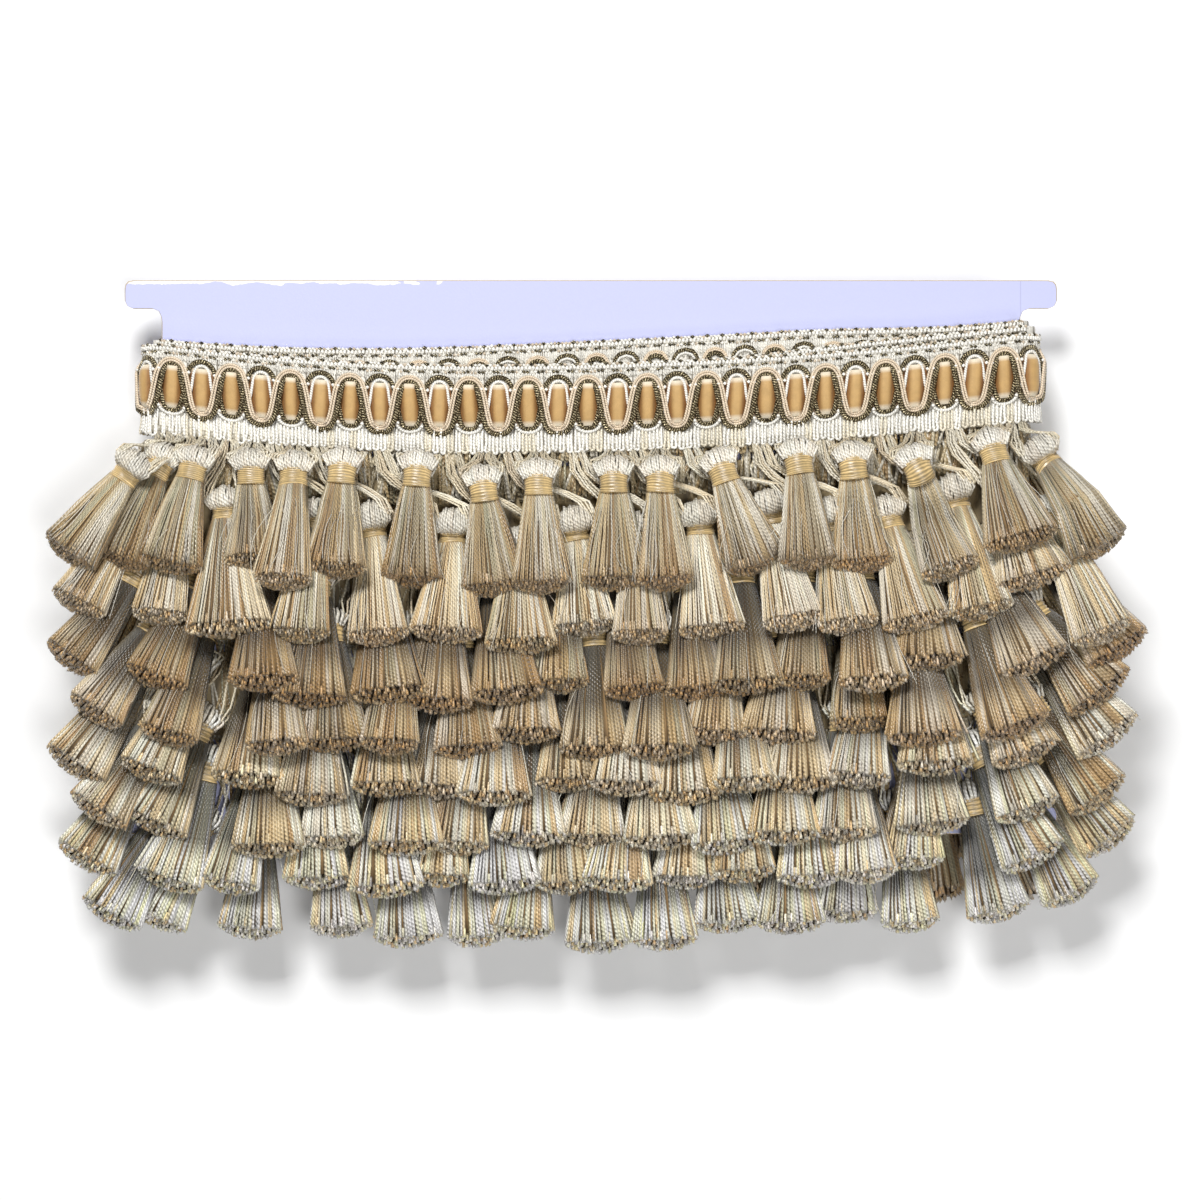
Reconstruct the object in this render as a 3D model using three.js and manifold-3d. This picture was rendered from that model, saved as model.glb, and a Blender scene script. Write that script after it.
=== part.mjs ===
// Two-row tassel fringe trim wound round a flat card, laid on its back.
// The trim is a gimp heading with a puffed ribbon and two scroll cords, and tassels on short and long
// hanks along its lower edge. Millimetres: +X along the card, +Y to the card's top edge, +Z up.
import * as THREE from "three";
import Module from "manifold-3d";

const wasm = await Module();
wasm.setup();

// The card: a waist that the trim is wound on, with an ear at each corner.
const CARD = {
  halfWidth: 150.3,
  height: 194,
  thick: 3,
  ear: 13,
  earHeight: 9.5,
  earCut: 2,
  notchRadius: 4,
  notchCurve: 1.2,
};

// The winding: straight runs in front and behind, round bends at the card's two edges.
const HALF_RUN = 149.3;
const RUN = 2 * HALF_RUN;
const BEND_RADIUS = 8.7;
const BEND = Math.PI * BEND_RADIUS;
const TURN = 2 * (RUN + BEND);

// The turns from the first one wound. drop is how far the lower edge hangs below the card's top, base how
// far the inner face lies from the card's middle, and rise how far the edge peeks above the last turn's,
// from riseFrom on over a length of riseOver, and lower again by fall at the right. leftSag curves the edge
// upwards at the left. The last row is where the trim ends, on top of the turn before.
const TURNS = [
  { drop: 159.5, base: 2.1, rise: 0, riseFrom: 0, riseOver: 1, fall: 0, leftSag: 0 },
  { drop: 126, base: 2.1, rise: 0, riseFrom: 0, riseOver: 1, fall: 0, leftSag: 0 },
  { drop: 92.5, base: 2.1, rise: 0, riseFrom: 0, riseOver: 1, fall: 0, leftSag: 0 },
  { drop: 57, base: 2.1, rise: 8.5, riseFrom: -230, riseOver: 270, fall: 3.5, leftSag: 0.0003 },
  { drop: 57, base: 4.4, rise: 3, riseFrom: 30, riseOver: 80, fall: 0, leftSag: 0.0003 },
  { drop: 57, base: 6.7, rise: 0, riseFrom: 0, riseOver: 1, fall: 0, leftSag: 0.0003 },
  { drop: 57, base: 11.9, rise: 0, riseFrom: 0, riseOver: 1, fall: 0, leftSag: 0.0003 },
];
const EDGE_LINE = { sag: 0.0003, sagMiddle: -40, sagDepth: 2.4, fallFrom: 65, fallOver: 80 };
const LAST = TURNS.length - 2;

// How far round a bend the trim starts before the front and ends after it, and how far round one the last
// strip behind starts; shares of the bend.
const ENDS = { start: 0.35, end: 0.62, backStart: 0.7 };
const START = -ENDS.start * BEND;
const OUTER_FROM = (LAST - 1) * TURN + RUN + BEND;
const END = LAST * TURN + RUN + ENDS.end * BEND;

// The heading: its woven ground, and what lies on the ground of the outermost turn.
const GAP = 0.3;
const HEADING = { height: 29.5, thick: 2.0, outerThick: 0.8 };
const WINDOW = { pitch: 10.35, middle: 15.3, centre: -1 };
const RIBBON = { halfHeight: 7.4, faceHalf: 2.2, base: 1.3, edge: 1.7, puff: 2.6 };
const CORD = { width: 3.2, thick: 1.0, swing: 9.3, low: 1.3, over: 4.1, under: 2.4 };

// One wave of a scroll cord over two windows: degrees from its crest, its height from 1 at the crest to -1
// at the trough, and whether it is raised there to cross the other cord.
const CORD_WAVE = [
  { turn: -28, height: 1, raised: 0 },
  { turn: 28, height: 1, raised: 0 },
  { turn: 62, height: 0.482, raised: 1 },
  { turn: 120, height: -0.39, raised: 1 },
  { turn: 160, height: -1, raised: 0 },
  { turn: 200, height: -1, raised: 0 },
  { turn: 240, height: -0.39, raised: 1 },
  { turn: 298, height: 0.482, raised: 1 },
];

// How much of the outermost turn's ends the ribbon and the scroll cords leave free.
const MARGIN = { ribbonStart: 8, ribbonEnd: 4, cordStart: 6, cordEnd: 14 };
const OUTER_STACK = CORD.over + CORD.thick;

// The narrow strip that the hanks grow from, just below the heading's lower edge.
const STRIP = { height: 3.2, thick: 3.6, rootDown: 1.9, rootOut: 2.8 };

// How the tassels pile up: the clearance between two of them, the hank that is free to cross at its root,
// and how far the ones at the card's ends swing outwards.
const PILE = { clear: 0.7, cell: 1, free: 5, halfX: 215, depth: 260 };
const STEP = { run: 49, bend: BEND / 6 };
const SWING = { from: 105, over: 50, angle: 0.6 };

// Sizes of one tassel: half widths and thicknesses at the root, head, neck and tip, and lengths on the way.
const TASSEL = {
  rootHalf: 3,
  rootThick: 1.4,
  headHalf: 7.6,
  headThick: 6.4,
  neckHalf: 6.2,
  headAbove: 9.5,
  neckAbove: 3.5,
  flare: 0.5,
};

// The tassels of the outermost turn's front, in the places where they hang: middle of the neck, middle of
// the cut end, and the width there.
const SHORT_HANKS = {
  columns: ["neckX", "neckY", "tipX", "tipY", "width"],
  rows: [
    [-160, -69, -180, -96, 21],
    [-150, -67, -163, -98, 21],
    [-138, -68, -145, -100, 22],
    [-118, -69, -116, -99, 20],
    [-103, -70, -105, -106, 19],
    [-86, -69, -88, -102, 22],
    [-60, -70, -62, -105, 21],
    [-37, -75, -33, -108, 23],
    [-18, -73, -17, -107, 20],
    [8, -72, 9, -106, 24],
    [24, -72, 26, -106, 19],
    [46, -69, 57, -100, 21],
    [72, -66, 75, -99, 20],
    [91, -67, 94, -100, 21],
    [113, -68, 124, -102, 21],
    [140, -62, 148, -92, 26],
    [158, -64, 175, -94, 23],
  ],
};
const LONG_HANKS = {
  columns: ["neckX", "neckY", "tipX", "tipY", "width"],
  rows: [
    [-161, -84, -177, -114, 20],
    [-145, -83, -149, -118, 19],
    [-127, -82, -124, -122, 30],
    [-96, -86, -99, -124, 19],
    [-76, -88, -73, -125, 21],
    [-48, -90, -50, -124, 25],
    [-25, -96, -24, -128, 25],
    [-5, -89, -2, -122, 22],
    [16, -91, 17, -125, 19],
    [38, -87, 42, -123, 23],
    [63, -83, 70, -120, 21],
    [84, -86, 89, -121, 21],
    [104, -85, 112, -120, 23],
    [127, -78, 135, -116, 22],
    [144, -76, 153, -105, 27],
    [160, -85, 176, -124, 21],
  ],
};

// Rows of the inner turns: how many, how far the neck and the cut end hang below the heading.
const SHORT_ROW = { count: 16, neck: 13, length: 37 };
const LONG_ROW = { neck: 31, length: 37 };
const BACK_ROW = { count: 12, thirdTurnReach: 0.5 };

// How the tassels of such a row stand: their width, how far apart their roots are at least, how far past
// the run the end ones reach, how much wider the long ones spread, and how uneven they all are.
const ROW = {
  width: 23,
  rootsApart: 7.4,
  rootMargin: 1,
  pastRun: 8,
  pastRunBehind: 6,
  longSpread: 1.07,
  longSpreadBehind: 1.05,
};
const UNEVEN = { place: 2.5, longPlace: 2.2, angle: 0.12, drop: 1.7, length: 3, width: 3.2 };

const mix = (a, b, share) => a + (b - a) * share;
const clamp = (value, low, high) => Math.min(high, Math.max(low, value));
const smooth = (share) => {
  const s = clamp(share, 0, 1);
  return s * s * (3 - 2 * s);
};

// A repeatable uneven number from -1 to 1 for tassel n.
function uneven(n) {
  const wave = Math.sin(n * 12.9898) * 43758.5453;
  return 2 * (wave - Math.floor(wave)) - 1;
}

// Height of a turn's lower edge on the front: it sags left of the middle, and climbs from riseFrom.
function lowerEdge(turn, x) {
  const { drop, rise, riseFrom, riseOver, fall, leftSag } = TURNS[turn];
  const { sagMiddle, sagDepth, fallFrom, fallOver } = EDGE_LINE;
  const sag = EDGE_LINE.sag * (x - sagMiddle) ** 2 - sagDepth;
  const atLeft = leftSag * Math.min(x - sagMiddle, 0) ** 2;
  const peek = rise * smooth((x - riseFrom) / riseOver) - fall * smooth((x - fallFrom) / fallOver);
  return sag + atLeft - drop + peek;
}

// The winding at length s: the middle of the bend or the point of the run, its outward direction, the
// inner face's distance from the card's middle and the lower edge's height.
function place(s) {
  const turn = Math.floor(s / TURN);
  const along = s - turn * TURN;
  const next = turn + 1;
  if (along < RUN) {
    const x = along - HALF_RUN;
    return { x, nx: 0, nz: 1, base: TURNS[turn].base, y: lowerEdge(turn, x) };
  }
  if (along < RUN + BEND) {
    const angle = (Math.PI * (along - RUN)) / BEND;
    const climb = smooth((2 * angle) / Math.PI - 1);
    const base = mix(TURNS[turn].base, TURNS[next].base, climb);
    const y = lowerEdge(turn, HALF_RUN);
    return { x: HALF_RUN, nx: Math.sin(angle), nz: Math.cos(angle), base, y };
  }
  const base = TURNS[next].base;
  const finish = lowerEdge(next, -HALF_RUN);
  if (along < 2 * RUN + BEND && next < TURNS.length) {
    const share = (along - RUN - BEND) / RUN;
    const y = mix(lowerEdge(Math.max(turn, 0), HALF_RUN), finish, smooth(share));
    return { x: HALF_RUN - share * RUN, nx: 0, nz: -1, base, y };
  }
  const angle = (Math.PI * (along - 2 * RUN - BEND)) / BEND;
  return { x: -HALF_RUN, nx: -Math.sin(angle), nz: -Math.cos(angle), base, y: finish };
}

// A point of the winding: out is measured from the inner face, up from the lower edge.
function pointAt(s, out, up) {
  const p = place(s);
  const reach = p.base + out;
  return new THREE.Vector3(p.x + p.nx * reach, p.y + up, p.nz * reach);
}

// Lengths from one place on the winding to another, with closer steps round the bends.
function steps(from, to, runStep, bendStep) {
  const joints = [];
  for (let half = 0; half <= 2 * TURNS.length; half += 1) {
    const run = half * (RUN + BEND);
    joints.push({ s: run, step: runStep }, { s: run + RUN, step: bendStep });
  }
  const cuts = joints.filter(({ s }) => s > from + 1e-6 && s < to - 1e-6);
  const before = joints.findLast(({ s }) => s <= from + 1e-6) ?? { step: bendStep };
  const starts = [{ s: from, step: before.step }, ...cuts];
  const lengths = [];
  starts.forEach(({ s, step }, i) => {
    const stop = starts[i + 1]?.s ?? to;
    const pieces = Math.max(1, Math.round((stop - s) / step));
    for (let n = 0; n < pieces; n += 1) {
      lengths.push(mix(s, stop, n / pieces));
    }
  });
  return [...lengths, to];
}

// A closed solid from rings of equally many corners, each ring joined to the next and both ends capped.
function loft(rings) {
  const sides = rings[0].length;
  const corners = rings.flat();
  const faces = [];
  for (let ring = 0; ring + 1 < rings.length; ring += 1) {
    for (let side = 0; side < sides; side += 1) {
      const a = ring * sides + side;
      const b = ring * sides + ((side + 1) % sides);
      faces.push([a, b, b + sides], [a, b + sides, a + sides]);
    }
  }
  const end = (rings.length - 1) * sides;
  for (let side = 1; side + 1 < sides; side += 1) {
    faces.push([0, side + 1, side], [end, end + side, end + side + 1]);
  }
  let volume = 0;
  for (const [a, b, c] of faces) {
    volume += corners[a].dot(corners[b].clone().cross(corners[c]));
  }
  const outward = volume > 0 ? faces : faces.map(([a, b, c]) => [a, c, b]);
  const geometry = new THREE.BufferGeometry();
  geometry.setAttribute(
    "position",
    new THREE.Float32BufferAttribute(
      corners.flatMap((corner) => corner.toArray()),
      3,
    ),
  );
  geometry.setIndex(outward.flat());
  return geometry;
}

function solidOf(geometry) {
  return new wasm.Manifold(
    new wasm.Mesh({
      numProp: 3,
      vertProperties: geometry.attributes.position.array,
      triVerts: new Uint32Array(geometry.index.array),
    }),
  );
}

// All the geometries joined into one solid.
function fuse(geometries) {
  const joined = geometries.map(solidOf).reduce((whole, piece) => whole.add(piece));
  const mesh = joined.getMesh();
  const geometry = new THREE.BufferGeometry();
  geometry.setAttribute(
    "position",
    new THREE.BufferAttribute(new Float32Array(mesh.vertProperties), 3),
  );
  geometry.setIndex(new THREE.BufferAttribute(new Uint32Array(mesh.triVerts), 1));
  return geometry;
}

// A band along the winding: bounds gives its inner and outer face and its two edges at length s.
function band(lengths, bounds) {
  return loft(
    lengths.map((s) => {
      const { inner, outer, low, high } = bounds(s);
      return [
        pointAt(s, inner, low),
        pointAt(s, outer, low),
        pointAt(s, outer, high),
        pointAt(s, inner, high),
      ];
    }),
  );
}

// The card

function cardGeometry() {
  const { halfWidth, height, thick, ear, earHeight, earCut, notchRadius, notchCurve } = CARD;
  const outline = new THREE.Shape();
  const corner = (sideways, upright, toSide) => {
    const edge = sideways * halfWidth;
    const tip = sideways * (halfWidth + ear);
    const top = upright > 0 ? 0 : -height;
    const inside = top - upright * earHeight;
    const points = [
      [tip, top],
      [tip, inside + upright * earCut],
      [tip - sideways * earCut, inside],
      [edge + sideways * notchRadius, inside],
      [edge + sideways * notchCurve, inside - upright * notchCurve],
      [edge, inside - upright * notchRadius],
    ];
    return toSide ? points : points.reverse();
  };
  const points = [
    ...corner(1, 1, true),
    ...corner(1, -1, false),
    ...corner(-1, -1, true),
    ...corner(-1, 1, false),
  ];
  outline.setFromPoints(points.map(([x, y]) => new THREE.Vector2(x, y)));
  const geometry = new THREE.ExtrudeGeometry(outline, { depth: thick, bevelEnabled: false });
  return geometry.translate(0, 0, -thick / 2);
}

// The heading, its ribbon and its scroll cords

function headingGeometry() {
  const lengths = [
    ...steps(START, OUTER_FROM, STEP.run, STEP.bend),
    ...steps(OUTER_FROM + 0.5, END, STEP.run, STEP.bend),
  ];
  return band(lengths, (s) => ({
    inner: 0,
    outer: s > OUTER_FROM ? HEADING.outerThick : HEADING.thick,
    low: 0,
    high: HEADING.height,
  }));
}

// The middles of the windows on the outermost turn, where the ribbon puffs out between the cords.
function windowMiddles() {
  const centre = LAST * TURN + HALF_RUN + WINDOW.centre;
  const first = Math.ceil((OUTER_FROM + MARGIN.ribbonStart - centre) / WINDOW.pitch);
  const last = Math.floor((END - MARGIN.ribbonEnd - centre) / WINDOW.pitch);
  const middles = [];
  for (let n = first; n <= last; n += 1) {
    middles.push(centre + n * WINDOW.pitch);
  }
  return middles;
}

function ribbonGeometry() {
  const half = WINDOW.pitch / 2;
  const lengths = windowMiddles().flatMap((s) => [s - half, s]);
  lengths.push(lengths.at(-1) + half);
  const rings = lengths.map((s, i) => {
    const face = i % 2 ? RIBBON.puff : RIBBON.edge;
    return [
      pointAt(s, RIBBON.base, WINDOW.middle - RIBBON.halfHeight),
      pointAt(s, face, WINDOW.middle - RIBBON.faceHalf),
      pointAt(s, face, WINDOW.middle + RIBBON.faceHalf),
      pointAt(s, RIBBON.base, WINDOW.middle + RIBBON.halfHeight),
    ];
  });
  return loft(rings);
}

// One scroll cord: it lies low on the ground at its crests and troughs and rises where the other cord
// crosses. phase is how far along the winding its crests are from the even windows.
function scrollGeometry(phase, crossing) {
  const period = 2 * WINDOW.pitch;
  const centre = LAST * TURN + HALF_RUN + WINDOW.centre + phase;
  const first = Math.ceil((OUTER_FROM + MARGIN.cordStart - centre) / period);
  const last = Math.floor((END - MARGIN.cordEnd - centre) / period);
  const line = [];
  for (let n = first; n <= last; n += 1) {
    for (const { turn, height, raised } of CORD_WAVE) {
      line.push({
        s: centre + (n + turn / 360) * period,
        up: WINDOW.middle + CORD.swing * height,
        out: mix(CORD.low, crossing, raised),
      });
    }
  }
  const half = CORD.width / 2;
  const rings = line.map((at, i) => {
    const before = line[Math.max(0, i - 1)];
    const after = line[Math.min(line.length - 1, i + 1)];
    const along = new THREE.Vector2(after.s - before.s, after.up - before.up).normalize();
    const low = [at.s + along.y * half, at.up - along.x * half];
    const high = [at.s - along.y * half, at.up + along.x * half];
    return [
      pointAt(low[0], at.out, low[1]),
      pointAt(at.s, at.out + CORD.thick, at.up),
      pointAt(high[0], at.out, high[1]),
    ];
  });
  return loft(rings);
}

// Tassels

// The heights of everything laid so far, seen from the side that the tassels are piled on.
class Pile {
  constructor() {
    this.columns = (2 * PILE.halfX) / PILE.cell + 1;
    this.heights = new Float64Array(this.columns * (PILE.depth / PILE.cell + 21));
  }
  cell(x, y) {
    const column = Math.round((x + PILE.halfX) / PILE.cell);
    return Math.round((20 - y) / PILE.cell) * this.columns + column;
  }
  at(x, y) {
    return this.heights[this.cell(x, y)];
  }
  raise(x, y, z) {
    const cell = this.cell(x, y);
    this.heights[cell] = Math.max(this.heights[cell], z);
  }
}

// Cross-sections, by their corners' places across and through: a lozenge in front, and behind, where the
// tassels lie on the table, a flat sole under a ridge.
const LOZENGE = {
  corners: [
    [-1, 0],
    [0, -0.5],
    [1, 0],
    [0, 0.5],
  ],
  under: (across) => 0.5 * (Math.abs(across) - 1),
  over: (across) => 0.5 * (1 - Math.abs(across)),
};
const SOLE = {
  corners: [
    [-1, 0],
    [1, 0],
    [0, 1],
  ],
  under: () => 0,
  over: (across) => 1 - Math.abs(across),
};

// The three kinds of tassel: those in front of the outermost turn, those under them, and those behind the
// card, whose toes lie level on the table.
const OUTER = { section: LOZENGE, neckThick: 7, tipThick: 8.4, toe: 0 };
const INNER = { section: LOZENGE, neckThick: 6.2, tipThick: 7.4, toe: 0 };
const BEHIND = { section: SOLE, neckThick: 5, tipThick: 3.8, toe: 5 };

// A tassel in plan: its line from root to neck to cut end, its rings and the places where it can bend.
function makeTassel(root, neck, tip, width, kind) {
  const t = TASSEL;
  const hank = neck.clone().sub(root);
  const skirt = tip.clone().sub(neck);
  const neckAt = hank.length();
  const length = neckAt + skirt.length();
  const headAt = Math.max(2.5, neckAt - t.headAbove);
  const bendAt = mix(neckAt, length, t.flare);
  const toeAt = length - kind.toe;
  const halfAt = (share) => mix(t.neckHalf, width / 2, share);
  const thick = kind.tipThick;
  const start = { at: 0, half: t.rootHalf, thick: t.rootThick };
  const bend = { at: bendAt, half: halfAt(0.62), thick };
  const end = { at: length, half: width / 2, thick };
  const neckRing = (at) => ({ at, half: t.neckHalf, thick: kind.neckThick });
  const head = { at: headAt, half: t.headHalf, thick: t.headThick };
  const neckRings = [neckRing(neckAt - t.neckAbove), neckRing(neckAt + t.neckAbove)];
  const toe = { at: toeAt, half: halfAt(0.9), thick };
  const rings = new Map([
    [OUTER, [start, head, ...neckRings, bend, end]],
    [INNER, [start, neckRing(neckAt), end]],
    [BEHIND, [start, neckRing(neckAt), bend, toe, end]],
  ]).get(kind);
  const knots = new Map([
    [OUTER, [headAt, neckAt, bendAt, length]],
    [INNER, [neckAt, length]],
    [BEHIND, [neckAt, bendAt, toeAt]],
  ]).get(kind);
  return {
    root,
    neck,
    neckAt,
    length,
    section: kind.section,
    hank: hank.normalize(),
    skirt: skirt.normalize(),
    rings,
    rootZ: 0,
    knots: knots.map((at) => ({ at, z: 0 })),
  };
}

// The two knots on either side of a place, and how far it is from the first to the second.
function betweenKnots({ knots }, at) {
  const above = knots.findIndex((knot) => knot.at >= at);
  const b = above < 0 ? knots.length - 1 : Math.max(above, 1);
  const a = b - 1;
  return { a, b, share: clamp((at - knots[a].at) / (knots[b].at - knots[a].at), 0, 1) };
}

// The tassel's middle, direction, half width, thickness and depth at a distance from its root.
function sectionAt(tassel, at) {
  const { root, neck, neckAt, rings, knots } = tassel;
  const onHank = at < neckAt;
  const direction = onHank ? tassel.hank : tassel.skirt;
  const middle = onHank
    ? root.clone().addScaledVector(direction, at)
    : neck.clone().addScaledVector(direction, at - neckAt);
  const upper = clamp(rings.findIndex((ring) => ring.at >= at) - 1, 0, rings.length - 2);
  const [from, to] = [rings[upper], rings[upper + 1]];
  const along = clamp((at - from.at) / (to.at - from.at), 0, 1);
  const { a, b, share } = betweenKnots(tassel, at);
  return {
    middle,
    direction,
    half: mix(from.half, to.half, along),
    thick: mix(from.thick, to.thick, along),
    z: at < knots[0].at
      ? mix(tassel.rootZ, knots[0].z, at / knots[0].at)
      : mix(knots[a].z, knots[b].z, share),
  };
}

// Points all over a tassel: its place in plan, how far across, and where along.
function eachPoint(tassel, visit) {
  for (let at = 0; at <= tassel.length; at += PILE.cell) {
    const section = sectionAt(tassel, at);
    const count = Math.ceil(section.half / PILE.cell);
    for (let k = -count; k <= count; k += 1) {
      const across = k / count;
      const offset = across * section.half;
      const x = section.middle.x - section.direction.y * offset;
      const y = section.middle.y + section.direction.x * offset;
      visit({ x, y, across, at, section });
    }
  }
}

// Lays a tassel on the pile: its knots sink until it rests on the highest things under it. A point of the
// hank lifts the first knot, and each other point the nearer one; they settle in a few rounds.
function layOn(pile, tassel, fixedRoot) {
  const { neckAt, knots, rootZ } = tassel;
  const first = knots[0];
  const needs = [];
  eachPoint(tassel, ({ x, y, across, at, section }) => {
    const below = pile.at(x, y);
    const clear = below > 0 ? below + PILE.clear : 0;
    needs.push({ at, need: clear - tassel.section.under(across) * section.thick });
  });
  let lowest = fixedRoot ? rootZ : 0;
  for (const { at, need } of needs.filter((point) => point.at <= first.at)) {
    if (fixedRoot && at > PILE.free) {
      lowest = Math.max(lowest, rootZ + ((need - rootZ) * first.at) / at);
    } else if (!fixedRoot && at > neckAt - TASSEL.headAbove) {
      lowest = Math.max(lowest, need);
    }
  }
  for (let round = 0; round < 5; round += 1) {
    const settled = knots.map((_, i) => (i ? 0 : lowest));
    for (const { at, need } of needs.filter((point) => point.at > first.at)) {
      const { a, b, share } = betweenKnots(tassel, at);
      if (share < 0.5) {
        settled[a] = Math.max(settled[a], (need - share * knots[b].z) / (1 - share));
      } else {
        settled[b] = Math.max(settled[b], (need - (1 - share) * settled[a]) / share);
      }
    }
    knots.forEach((knot, i) => {
      knot.z = settled[i];
    });
  }
  eachPoint(tassel, ({ x, y, across, at, section }) => {
    if (fixedRoot || at > neckAt - TASSEL.headAbove) {
      pile.raise(x, y, section.z + tassel.section.over(across) * section.thick);
    }
  });
}

function tasselGeometry(tassel, toZ) {
  const rings = tassel.rings.map((ring) => {
    const section = sectionAt(tassel, ring.at);
    const direction = section.direction.clone();
    if (Math.abs(ring.at - tassel.neckAt) < TASSEL.headAbove) {
      direction.copy(tassel.hank).add(tassel.skirt).normalize();
    }
    return tassel.section.corners.map(([across, through]) => {
      const offset = across * ring.half;
      return new THREE.Vector3(
        section.middle.x - direction.y * offset,
        section.middle.y + direction.x * offset,
        toZ(section.z + through * ring.thick),
      );
    });
  });
  return loft(rings);
}

// Places on the strip for the hanks of the necks at these places, kept apart and off the bends.
function rootsFor(necks) {
  const reach = HALF_RUN - ROW.rootMargin;
  const roots = necks.map((x) => clamp(x, -reach, reach));
  for (let i = 1; i < roots.length; i += 1) {
    roots[i] = Math.max(roots[i], roots[i - 1] + ROW.rootsApart);
  }
  let limit = reach;
  for (let i = roots.length - 1; i >= 0; i -= 1) {
    roots[i] = Math.min(roots[i], limit);
    limit = roots[i] - ROW.rootsApart;
  }
  return roots;
}

// Places for count necks spread from one end to the other, a little uneven, and for the long ones between.
function spread(count, from, to, seed) {
  return Array.from({ length: count }, (_, i) => {
    return mix(from, to, i / (count - 1)) + UNEVEN.place * uneven(seed + i);
  });
}

function longPlaces(roots, factor, seed) {
  return roots.map((x, i) => x * factor + UNEVEN.longPlace * uneven(seed + 50 + i));
}

// A row of tassels on an inner turn or behind: edgeAt gives the lower edge's height at x.
function evenRow({ necks, roots, row, edgeAt, kind, seed }) {
  return necks.map((x, i) => {
    const wobble = (k) => uneven(seed + 31 * k + i);
    const out = Math.sign(x) * SWING.angle * smooth((Math.abs(x) - SWING.from) / SWING.over);
    const angle = out + UNEVEN.angle * wobble(1);
    const root = new THREE.Vector2(roots[i], edgeAt(roots[i]) - STRIP.rootDown);
    const neck = new THREE.Vector2(x, edgeAt(roots[i]) - row.neck + UNEVEN.drop * wobble(2));
    const length = row.length + UNEVEN.length * wobble(3);
    const tip = new THREE.Vector2(Math.sin(angle), -Math.cos(angle));
    tip.multiplyScalar(length).add(neck);
    return makeTassel(root, neck, tip, ROW.width + UNEVEN.width * wobble(4), kind);
  });
}

function tableRow({ rows }, roots) {
  return rows.map(([neckX, neckY, tipX, tipY, width], i) => {
    const root = new THREE.Vector2(roots[i], lowerEdge(LAST, roots[i]) - STRIP.rootDown);
    const neck = new THREE.Vector2(neckX, neckY);
    return makeTassel(root, neck, new THREE.Vector2(tipX, tipY), width, OUTER);
  });
}

// The middles between neighbouring places.
const between = (places) => places.slice(1).map((x, i) => (x + places[i]) / 2);

// Front rows of one turn, the long hanks first because they lie under the short ones.
function frontRows(turn) {
  if (turn === LAST) {
    const shortRoots = rootsFor(SHORT_HANKS.rows.map(([x]) => x));
    return {
      long: tableRow(LONG_HANKS, between(shortRoots)),
      short: tableRow(SHORT_HANKS, shortRoots),
    };
  }
  const seed = 100 * (turn + 1);
  const end = HALF_RUN + ROW.pastRun;
  const shortNecks = spread(SHORT_ROW.count, -end, end, seed);
  const shortRoots = rootsFor(shortNecks);
  const longRoots = between(shortRoots);
  const longNecks = longPlaces(longRoots, ROW.longSpread, seed);
  const edgeAt = (x) => lowerEdge(turn, x);
  const shared = { edgeAt, kind: INNER };
  return {
    long: evenRow({ ...shared, necks: longNecks, roots: longRoots, row: LONG_ROW, seed: seed + 7 }),
    short: evenRow({ ...shared, necks: shortNecks, roots: shortRoots, row: SHORT_ROW, seed }),
  };
}

// Rows behind the card between one turn and the next; the trim climbs there.
function backRows(turn) {
  const seed = 100 * (turn + 1) + 3000;
  const end = HALF_RUN + ROW.pastRunBehind;
  const start = turn === 2 ? mix(end, -end, BACK_ROW.thirdTurnReach) : -end;
  const share = (end - start) / (2 * end);
  const shortNecks = spread(Math.round(BACK_ROW.count * share), start, end, seed);
  const shortRoots = rootsFor(shortNecks);
  const longRoots = between(shortRoots);
  const longNecks = longPlaces(longRoots, ROW.longSpreadBehind, seed);
  const behind = turn * TURN + RUN + BEND;
  const edgeAt = (x) => place(behind + HALF_RUN - x).y;
  const shared = { edgeAt, kind: BEHIND };
  return {
    long: evenRow({ ...shared, necks: longNecks, roots: longRoots, row: LONG_ROW, seed: seed + 7 }),
    short: evenRow({ ...shared, necks: shortNecks, roots: shortRoots, row: SHORT_ROW, seed }),
  };
}

// Every other tassel first, so that its neighbours lie on its edges.
function layingOrder(row) {
  return [...row.filter((_, i) => i % 2), ...row.filter((_, i) => i % 2 === 0)];
}

const FRINGED_TURNS = [0, 1, 2, LAST];
const BACK_TURNS = [0, 1, 2, LAST - 1];
const CARD_BACK = CARD.thick / 2;

// The back: laid from the table up, the outermost turn first.
const back = new Map();
const backPile = new Pile();
for (const turn of [...BACK_TURNS].reverse()) {
  const { short, long } = backRows(turn);
  for (const tassel of [...layingOrder(short), ...layingOrder(long)]) {
    layOn(backPile, tassel, false);
  }
  back.set(turn, [...short, ...long]);
}

// Outer faces of the heading and its strip along the winding, on one side of the card.
function eachFace(side, visit) {
  for (let s = START; s <= END; s += PILE.cell) {
    const p = place(s);
    if (p.nz * side > 0) {
      const thick = s > OUTER_FROM ? OUTER_STACK : HEADING.thick;
      for (let up = -STRIP.height - GAP; up <= HEADING.height; up += PILE.cell) {
        const reach = p.base + (up < 0 ? STRIP.thick : thick);
        visit(p.x + p.nx * reach, p.y + up, Math.abs(p.nz) * reach);
      }
    }
  }
}

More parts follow.
